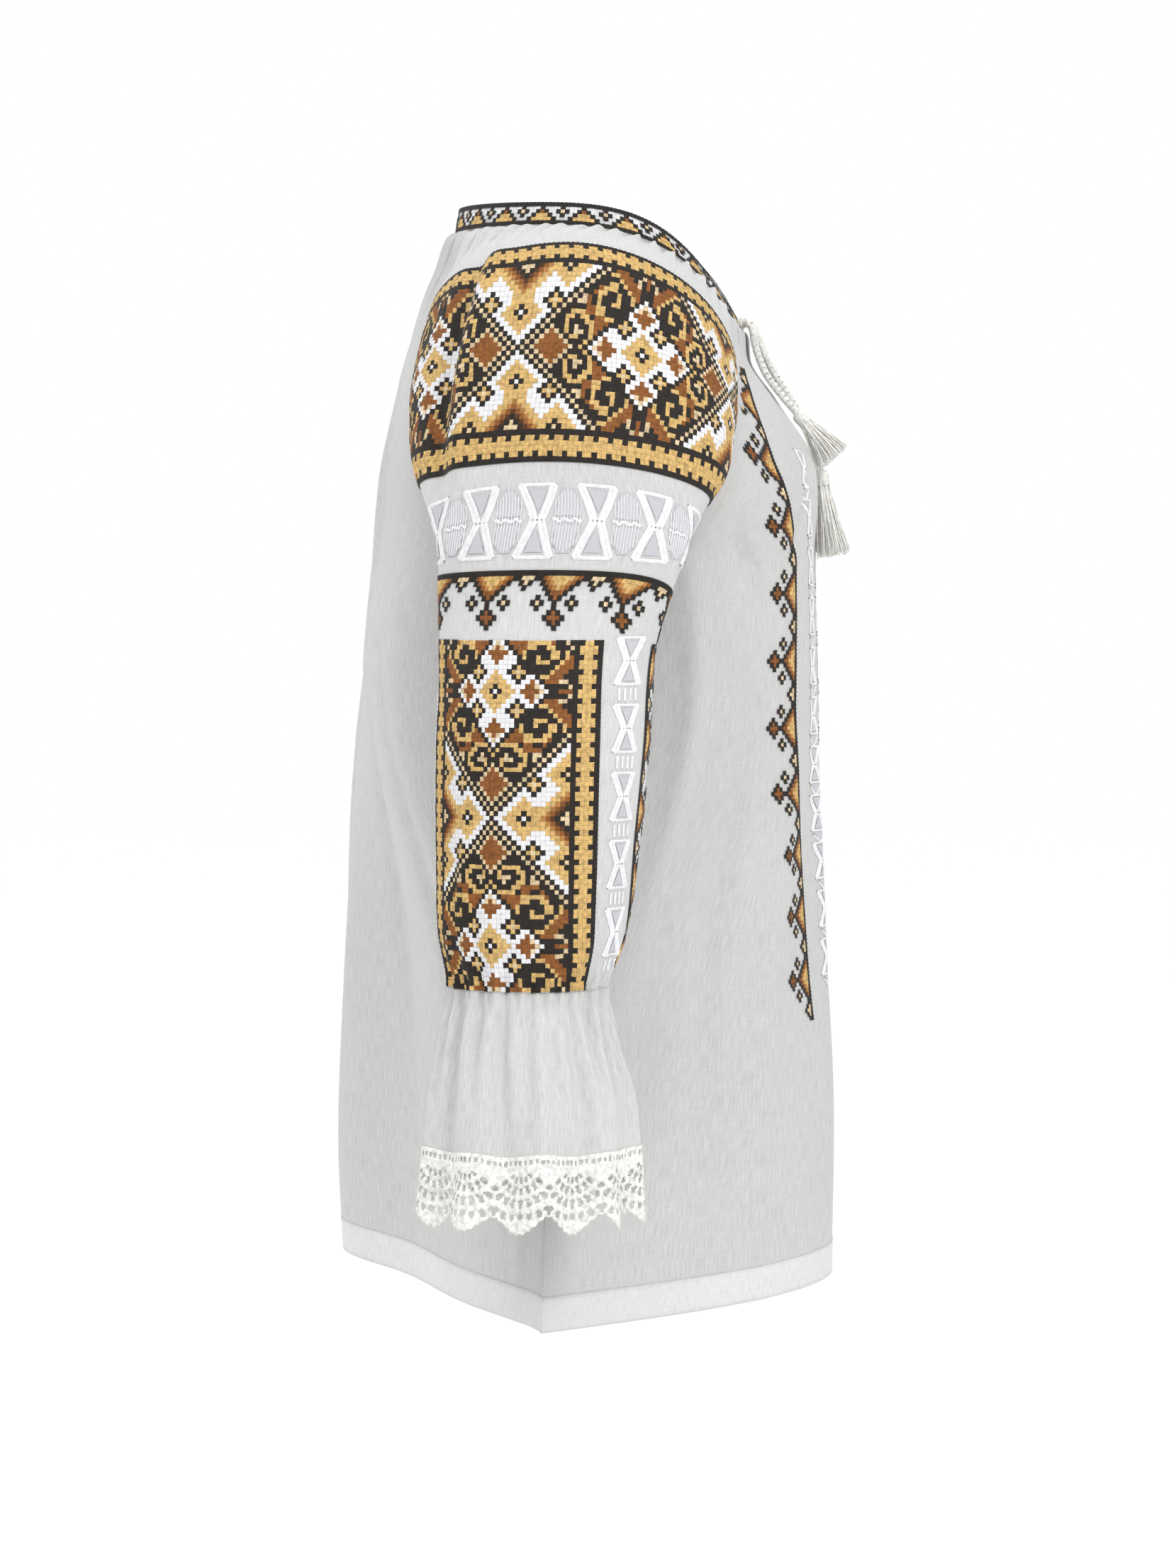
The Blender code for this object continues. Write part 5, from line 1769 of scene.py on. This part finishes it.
def band_work(threads):
    """The neck band's stitches, on the outer face of its folded strip."""
    rings = band_rings()[:3]
    lengths = arc_along(rings[1])
    count = int(lengths[-1] / NECK_STITCH)
    alongs = np.linspace(0, lengths[-1], 4 * count)
    downs = np.array([0.0, BAND_HEIGHT / 2, BAND_HEIGHT])
    points = np.array([curve_at(lengths, line, alongs) for line in rings])
    along_way = np.gradient(points, axis=1)
    up_way = (points[2] - points[0])[None]
    outs = unit(np.cross(np.broadcast_to(up_way, points.shape), along_way))
    centre = np.array([0.0, NECK_CENTRE_Y, 0.0])
    if np.sum(outs[1] * (points[1] - centre)) < 0:
        outs = -outs
    lows = np.full(3, NECK_END_MARGIN)
    field = Field(downs, alongs, points, outs, lows, lengths[-1] - lows)
    masses = {}
    lay_stitches(
        masses, field, BAND_HEIGHT / NECK_ROWS, range(1, count),
        [row + 0.5 for row in range(NECK_ROWS)],
        lambda column, row: neck_stitch(column, int(row)), pitch_along=lengths[-1] / count,
    )
    stitch_pieces(masses, "neck", threads)


class Mass:
    """Points and faces gathered for one mesh."""

    def __init__(self):
        self.points = []
        self.faces = []
        self.count = 0

    def add(self, points, faces):
        points = np.asarray(points, dtype=float).reshape(-1, 3)
        self.points.append(points)
        self.faces.extend([place + self.count for place in face] for face in faces)
        self.count += len(points)

    def add_pads(self, points):
        """Add nine points and eight faces for each stitch."""
        count = len(points)
        faces = PAD_FACES[None] + (self.count + 9 * np.arange(count))[:, None, None]
        self.points.append(points.reshape(-1, 3))
        self.faces.extend(map(tuple, faces.reshape(-1, 3).tolist()))
        self.count += 9 * count

    def finished(self, name, material):
        mesh = bpy.data.meshes.new(name)
        mesh.from_pydata(np.vstack(self.points).tolist(), [], self.faces)
        mesh.materials.append(material)
        mesh.update()
        mesh.shade_smooth()
        made = bpy.data.objects.new(name, mesh)
        bpy.context.scene.collection.objects.link(made)
        return made


def add_tube(mass, points, radii, sides, ups=None):
    """A round thread along points. ups are directions across it that keep its sides in line."""
    points = np.asarray(points, dtype=float)
    count = len(points)
    radii = np.broadcast_to(np.asarray(radii, dtype=float), (count,))
    way = unit(np.gradient(points, axis=0))
    if ups is None:
        ups = np.array([0.31, 0.12, 0.94]) if abs(way[0, 2]) < 0.8 else np.array([0.94, 0.31, 0.12])
    ups = np.broadcast_to(np.asarray(ups, dtype=float), (count, 3))
    across = unit(np.cross(ups, way))
    other = np.cross(way, across)
    turn = 2 * math.pi * np.arange(sides) / sides
    ring = across[:, None] * np.cos(turn)[:, None] + other[:, None] * np.sin(turn)[:, None]
    rings = points[:, None] + ring * radii[:, None, None]
    faces = grid_faces(count, sides, closed=True)
    faces.append(tuple(range(sides))[::-1])
    faces.append(tuple((count - 1) * sides + side for side in range(sides)))
    mass.add(rings, faces)


def cord_line(side, route):
    """A drawstring's line, from where it leaves the band to its tassel."""
    start, way = band_exit(side)
    points = np.vstack([start + way * SEAM_GAP, start + way * CORD_EXIT, route])
    return smooth_line(points, CORD_SPACING)[0]


def plait(name, line, material):
    """Three strands wound round each other along a line."""
    points, at = smooth_line(line, PLAIT_SPACING)
    way = unit(np.gradient(points, axis=0))
    across = unit(np.cross(way, np.array([0.0, -1.0, 0.35])))
    out = np.cross(across, way)
    mass = Mass()
    for strand in range(PLAIT_STRANDS):
        phase = 2 * math.pi * (at / PLAIT_PITCH + strand / PLAIT_STRANDS)
        left = np.sin(phase) * PLAIT_SWING
        over = np.sin(2 * phase) * PLAIT_SWING * PLAIT_DEPTH_SHARE
        path = points + across * left[:, None] + out * over[:, None]
        add_tube(mass, path, PLAIT_STRAND_RADIUS, 8)
    return mass.finished(name, material)


def tassel(name, shape, line, material):
    """A wound head, a collar of turns, and soft strands that part as they fall."""
    end = line[-1]
    way = unit(line[-1] - line[-2])
    across = unit(np.cross(way, np.array([0.0, -1.0, 0.2])))
    out = np.cross(across, way)
    mass = Mass()
    head = []
    for share in np.linspace(0, 1, 12):
        bulge = math.sin(math.pi * (0.14 + 0.80 * share)) ** 0.6
        head.append((share * shape.head_length, shape.head_radius * (0.52 + 0.50 * bulge)))
    sides = TASSEL_HEAD_SIDES
    rings = []
    for along, radius in head:
        for number in range(sides):
            turn = 2 * math.pi * number / sides
            ridge = 1 + 0.05 * math.cos(turn * 15)
            offset = across * math.cos(turn) + out * math.sin(turn)
            rings.append(end + way * along + offset * radius * ridge)
    mass.add(rings, [tuple(range(sides))[::-1]] + grid_faces(len(head), sides, closed=True))
    for number in range(TASSEL_TURNS):
        along = shape.head_length * 0.66 + number * TASSEL_TURN_PITCH
        radius = shape.head_radius * 0.96
        angles = np.linspace(0, 2 * math.pi, 28)
        loop = end + way * along + radius * (
            across * np.cos(angles)[:, None] + out * np.sin(angles)[:, None]
        )
        add_tube(mass, loop, TASSEL_TURN_RADIUS, 6, ups=way)
    for number in range(TASSEL_STRANDS):
        share = math.sqrt((number + 0.5) / TASSEL_STRANDS)
        angle = number * GOLDEN_ANGLE
        radial = across * math.cos(angle) + out * math.sin(angle)
        root = shape.head_radius * 0.84 * share
        flare = shape.spread * shape.skirt_length * share
        wobble = TASSEL_WOBBLE * math.sin(number * 1.7)
        length = shape.skirt_length * (0.88 + 0.12 * ((number * 7) % 11) / 11.0)
        along = np.linspace(0, 1, 13)
        spread = root + flare * along**1.25 + wobble * np.sin(3.1 * along + number)
        side_way = across * math.sin(number * 0.9) * wobble
        points = (
            end + way * (shape.head_length * 0.9 + along[:, None] * length)
            + radial * spread[:, None]
            + side_way * np.sin(5 * along + number)[:, None]
            + np.array([0.0, 0.0, -shape.sag]) * (along**2)[:, None]
        )
        add_tube(mass, points, TASSEL_STRAND_RADIUS * (1.0 - 0.25 * along), 5)
    return mass.finished(name, material)


def photo_camera():
    """The photograph's view: from the wearer's right, a little in front and a little above."""
    data = bpy.data.cameras.new("photo_camera")
    data.sensor_fit = "VERTICAL"
    data.sensor_height = SENSOR_SIZE
    data.sensor_width = SENSOR_SIZE
    data.lens = PHOTO_FOCAL / PHOTO_HEIGHT * SENSOR_SIZE
    data.clip_start = 0.05
    data.clip_end = 60.0
    camera = bpy.data.objects.new("photo_camera", data)
    turn, rise = math.radians(PHOTO_AZIMUTH), math.radians(PHOTO_ELEVATION)
    back = Vector((
        math.sin(turn) * math.cos(rise), -math.cos(turn) * math.cos(rise), math.sin(rise)
    ))
    camera.location = Vector(PHOTO_TARGET) + back * PHOTO_DISTANCE
    camera.rotation_mode = "QUATERNION"
    camera.rotation_quaternion = (-back).to_track_quat("-Z", "Y")
    bpy.context.scene.collection.objects.link(camera)
    bpy.context.scene.camera = camera
    return camera


def area_light(light):
    data = bpy.data.lights.new(light.name, "AREA")
    data.shape = "DISK"
    data.size = light.size
    data.energy = light.power
    made = bpy.data.objects.new(light.name, data)
    made.location = light.place
    made.rotation_mode = "QUATERNION"
    made.rotation_quaternion = (Vector(light.target) - made.location).to_track_quat("-Z", "Y")
    bpy.context.scene.collection.objects.link(made)


def studio():
    """A plain pale floor well below the blouse, white all round, and soft lights."""
    world = bpy.data.worlds.new("studio_white")
    world.use_nodes = True
    background = world.node_tree.nodes["Background"]
    background.inputs["Color"].default_value = (1.0, 1.0, 1.0, 1.0)
    background.inputs["Strength"].default_value = WORLD_STRENGTH
    bpy.context.scene.world = world
    bpy.context.scene.view_settings.view_transform = "Standard"
    for light in LIGHTS:
        area_light(light)
    mesh = bpy.data.meshes.new("floor")
    half = FLOOR_HALF
    corners = [(-half, -half), (half, -half), (half, half), (-half, half)]
    mesh.from_pydata([(x, y, FLOOR_Z) for x, y in corners], [], [(0, 1, 2, 3)])
    mesh.materials.append(new_material("floor_white", (1.0, 1.0, 1.0), 1.0))
    floor = bpy.data.objects.new("floor", mesh)
    bpy.context.scene.collection.objects.link(floor)
    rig.stage(floor)


def seat(made, slot_name, *nodes):
    """Tie a piece to the body, its slot and the solids it stands for."""
    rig.ride(made, "root")
    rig.slot(made, slot_name)
    if nodes:
        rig.replaces(made, *nodes)
    return made


def sleeve_pair(side, levels, across, lift=-SHELL_SINK):
    """A sleeve's outer face, and the same a little further out."""
    return tuple(
        dressed_sleeve(side, levels, across, lift + more) for more in (0.0, FURTHER_OUT)
    )


def body_pair(is_front, levels, across, lift=-SHELL_SINK):
    """A body panel's outer face, and the same a little further out."""
    return tuple(
        dressed_body(is_front, levels[:, None], across[None, :], lift + more)
        for more in (0.0, FURTHER_OUT)
    )


def tucked(pair, seam, out):
    """Add a row at the top that runs up inside the neck band."""
    inward = seam * np.array([1.0, 1.0, 0.0]) - np.array([0.0, NECK_CENTRE_Y, 0.0])
    row = seam - unit(inward) * TUCK_IN + np.array([0.0, 0.0, TUCK_UP])
    return tuple(
        np.concatenate([(row + out * more)[None], points], axis=0)
        for more, points in zip((0.0, FURTHER_OUT), pair)
    )


def shoulder_face(side):
    """From the neck band to the ring seam."""
    levels = np.concatenate([np.linspace(0, 0.25, 26), np.linspace(0.25, 1.0, 56)[1:]])
    across = np.linspace(0, 1, SLEEVE_SHELL_COLUMNS + 1)
    pair = sleeve_pair(side, levels[:, None], across[None, :])
    seam = sleeve_base(0.0, across)
    seam[:, 0] *= side
    return tucked(pair, seam, unit(pair[1][0] - pair[0][0]))


def arm_face(side):
    """From the ring seam to the wrist."""
    levels = np.concatenate([
        np.linspace(1.0, 1.8, 56), np.linspace(1.8, float(arm_level(WRIST_Z)), 26)[1:],
    ])
    across = np.linspace(0, 1, SLEEVE_SHELL_COLUMNS + 1)
    return sleeve_pair(side, levels[:, None], across[None, :])


def frill_face(side):
    """From the wrist to just under the top of the lace."""
    levels = np.linspace(float(arm_level(WRIST_Z)), float(arm_level(FRILL_END_Z - 0.003)), 44)
    across = np.linspace(0, 1, FRILL_SHELL_COLUMNS + 1)
    return sleeve_pair(side, levels[:, None], across[None, :])


def lace_face(side):
    """From the frill's end to the scallops, with a small loop of thread along their edge."""
    across = np.linspace(0, 1, SCALLOPS * LACE_SCALLOP_COLUMNS + 1)
    scallop = np.abs(np.cos(math.pi * SCALLOPS * across)) ** LACE_SCALLOP_POWER
    picot = LACE_PICOT * np.abs(np.sin(math.pi * SCALLOPS * LACE_PICOTS * across))
    end_z = LACE_VALLEY_Z - (LACE_TIP_DROP - LACE_PICOT) * scallop - picot
    shares = np.linspace(0, 1, LACE_SHELL_ROWS)[:, None]
    heights = LACE_TOP_Z + (end_z[None, :] - LACE_TOP_Z) * shares
    return sleeve_pair(side, arm_level(heights), across[None, :] + 0 * heights, LACE_LIFT)


def lace_hole(row, col):
    """Where the crochet is open: a row of eyelets, then fans of small holes in each scallop."""
    share = (col + 0.5) / LACE_SCALLOP_COLUMNS
    scallop = abs(math.cos(math.pi * share)) ** LACE_SCALLOP_POWER
    x = ((share + 0.5) % 1.0 - 0.5) * LACE_SCALLOP_WIDTH
    drop = LACE_TOP_Z - LACE_VALLEY_Z + LACE_TIP_DROP * scallop
    y = (row + 0.5) / (LACE_SHELL_ROWS - 1) * drop
    if LACE_EYELET_TOP < y < LACE_EYELET_TOP + LACE_EYELET_DEPTH:
        return (x / LACE_EYELET_PITCH) % 1.0 < 0.5
    reach = math.hypot(x, y - LACE_FAN_TOP)
    turn = math.atan2(x, y - LACE_FAN_TOP)
    for number, (near, far) in enumerate(LACE_FAN_RINGS):
        if near < reach < far and abs(turn) < LACE_FAN_HALF_ANGLE:
            count = LACE_FAN_HOLES + 2 * number
            place_in = (turn / (2 * LACE_FAN_HALF_ANGLE) + 0.5) * count % 1.0 - 0.5
            return abs(place_in) < 0.36 * (1 - 0.45 * (reach - near) / (far - near))
    return False


def panel_face(is_front):
    """A body panel with its row inside the band. The front's middle column is there twice."""
    levels = np.concatenate([
        np.linspace(0.0, 0.30, 30), np.linspace(0.30, 1.0, 40)[1:], np.linspace(1.0, 2.0, 80)[1:],
    ])
    across = np.linspace(-1, 1, BODY_SHELL_COLUMNS + 1)
    if is_front:
        half = BODY_SHELL_COLUMNS // 2
        across = np.concatenate([across[: half + 1], across[half:]])
    pair = body_pair(is_front, levels, across)
    seam = body_base(is_front, 0.0, across)
    pair = tucked(pair, seam, unit(pair[1][0] - pair[0][0]))
    return pair, np.concatenate([levels[:1], levels])


def make_front(name, cloth):
    """The front, open down to the foot of its slit."""
    pair, levels = panel_face(True)
    half = BODY_SHELL_COLUMNS // 2
    open_rows = int(np.sum(levels < slit_level()))
    for points in pair:
        for row in range(open_rows):
            gap = slit_half_gap(points[row, half, 2])
            for col, sign in ((half, -1), (half + 1, 1)):
                points[row, col, 0] = sign * gap
            for reach in range(1, SLIT_EASED_COLUMNS):
                share = 1 - reach / SLIT_EASED_COLUMNS
                points[row, half - reach, 0] -= gap * share * SLIT_EASE
                points[row, half + 1 + reach, 0] += gap * share * SLIT_EASE
    made = shell(
        name, pair, cloth, BODY_UV_SCALE, skip=lambda row, col: col == half and row < open_rows
    )
    return made, pair


def make_hem(name, is_front, cloth):
    """The turned hem, which is two layers thick and so whiter than the rest."""
    top = 2.0 - HEM_DEPTH / (UNDERARM_Z - HEM_Z)
    levels = np.linspace(top, 1.9995, 7)
    across = np.linspace(-1, 1, BODY_SHELL_COLUMNS + 1)
    pair = body_pair(is_front, levels, across, HEM_LIFT)
    return shell(name, pair, cloth, BODY_UV_SCALE, thickness=HEM_THICKNESS)


def make_band(name, material):
    rings = band_rings()
    grid = np.stack(rings + rings[:1], axis=0)
    middle = grid.mean(axis=0, keepdims=True)
    return shell(name, (grid, grid + (grid - middle) * 0.1), material, (0.008, 0.004), thickness=0)


def main():
    photo_camera()
    white = thread("white_thread_look", *BRAID_THREAD)
    cords = []
    for name, side, route, label, shape in (
        ("drawstring_right", -1, CORD_RIGHT_ROUTE, "right", TASSEL_RIGHT),
        ("drawstring_left", 1, CORD_LEFT_ROUTE, "left", TASSEL_LEFT),
    ):
        line = cord_line(side, route)
        braid = seat(plait(name, line, white), "white_thread", "cord_" + label)
        fringe = tassel("tassel_strands_" + label, shape, line, white)
        cords.append((braid, seat(fringe, "white_thread", "tassel_" + label), line))

    # The front and back take a darker copy of the sleeves' voile: painted shade
    voile, body_voile, hem_look = (
        woven(name, *WEAVES[name]) for name in ("sheer_voile", "body_voile", "hem_cotton")
    )
    lace_look = thread("crochet_look", *CROCHET_THREAD)
    band_look = woven("band_cloth_look", *WEAVES["band_cloth_look"])
    # Flat grey material for painted shade in the drawn-thread openings
    openwork = new_material("drawn_thread_grey", OPENING_SHADE_GREY, 0.9)
    threads = {}
    for letter, (colour, shade) in THREAD_COLOURS.items():
        dark_share = WHITE_STITCH_SHADE if letter == "W" else STITCH_SHADE
        threads[letter] = thread("thread_" + colour, shade, dark_share)
    for side, label in ((-1, "right"), (1, "left")):
        on_shoulder, on_sleeve = sleeve_work(side, label, threads, openwork)
        above = "band_cloth"
        for part_name, face, look, slot_name, node, held, pieces, options in (
            ("shoulder_cloth_", shoulder_face(side), voile, "cotton_voile", "shoulder_", "gathered",
             on_shoulder, {"uv_scale": (0.0014, 0.0034)}),
            ("sleeve_cloth_", arm_face(side), voile, "cotton_voile", "sleeve_", "gathered",
             on_sleeve, {"uv_scale": (0.0016, 0.0030), "closed": True}),
            ("frill_cloth_", frill_face(side), voile, "cotton_voile", "cuff_frill_", "gathered",
             (), {"uv_scale": (0.0013, 0.0021), "closed": True}),
            ("lace_", lace_face(side), lace_look, "white_thread", "cuff_lace_", "hung",
             (), {"uv_scale": (0.0009, 0.0011), "closed": True, "skip": lace_hole}),
        ):
            name = part_name + label
            made = seat(shell(name, face, look, **options), slot_name, node + label)
            declare_sheet(made, face, held, [above], pieces)
            above = name
    front, front_face = make_front("front_cloth", body_voile)
    seat(front, "cotton_voile", "front")
    hem = seat(make_hem("hem_front", True, hem_look), "cotton_voile")
    worked = front_work(threads, openwork) + [hem]
    declare_sheet(front, front_face, "gathered", ["band_cloth"], worked)
    back_face = panel_face(False)[0]
    back = shell("back_cloth", back_face, body_voile, BODY_UV_SCALE)
    seat(back, "cotton_voile", "back")
    hem = seat(make_hem("hem_back", False, hem_look), "cotton_voile")
    declare_sheet(back, back_face, "gathered", ["band_cloth"], [hem])
    seat(make_band("band_cloth", band_look), "worked_cloth", "neck_band")
    band_work(threads)
    studio()

    for braid, fringe, line in cords:
        length = float(np.sum(np.linalg.norm(np.diff(line, axis=0), axis=1)))
        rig.cord(
            braid, exit=line[0], length=length, diameter=CORD_DIAMETER, far_end="fitting",
            stiffness="limp", lay="hanging", path=line, with_pieces=[fringe],
        )


main()
finished_low, finished_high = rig.bounds()
with open(SIZE_FILE, "w") as size_file:
    json.dump(
        {"loaded": [list(loaded_low), list(loaded_high)],
         "finished": [list(finished_low), list(finished_high)]},
        size_file,
    )
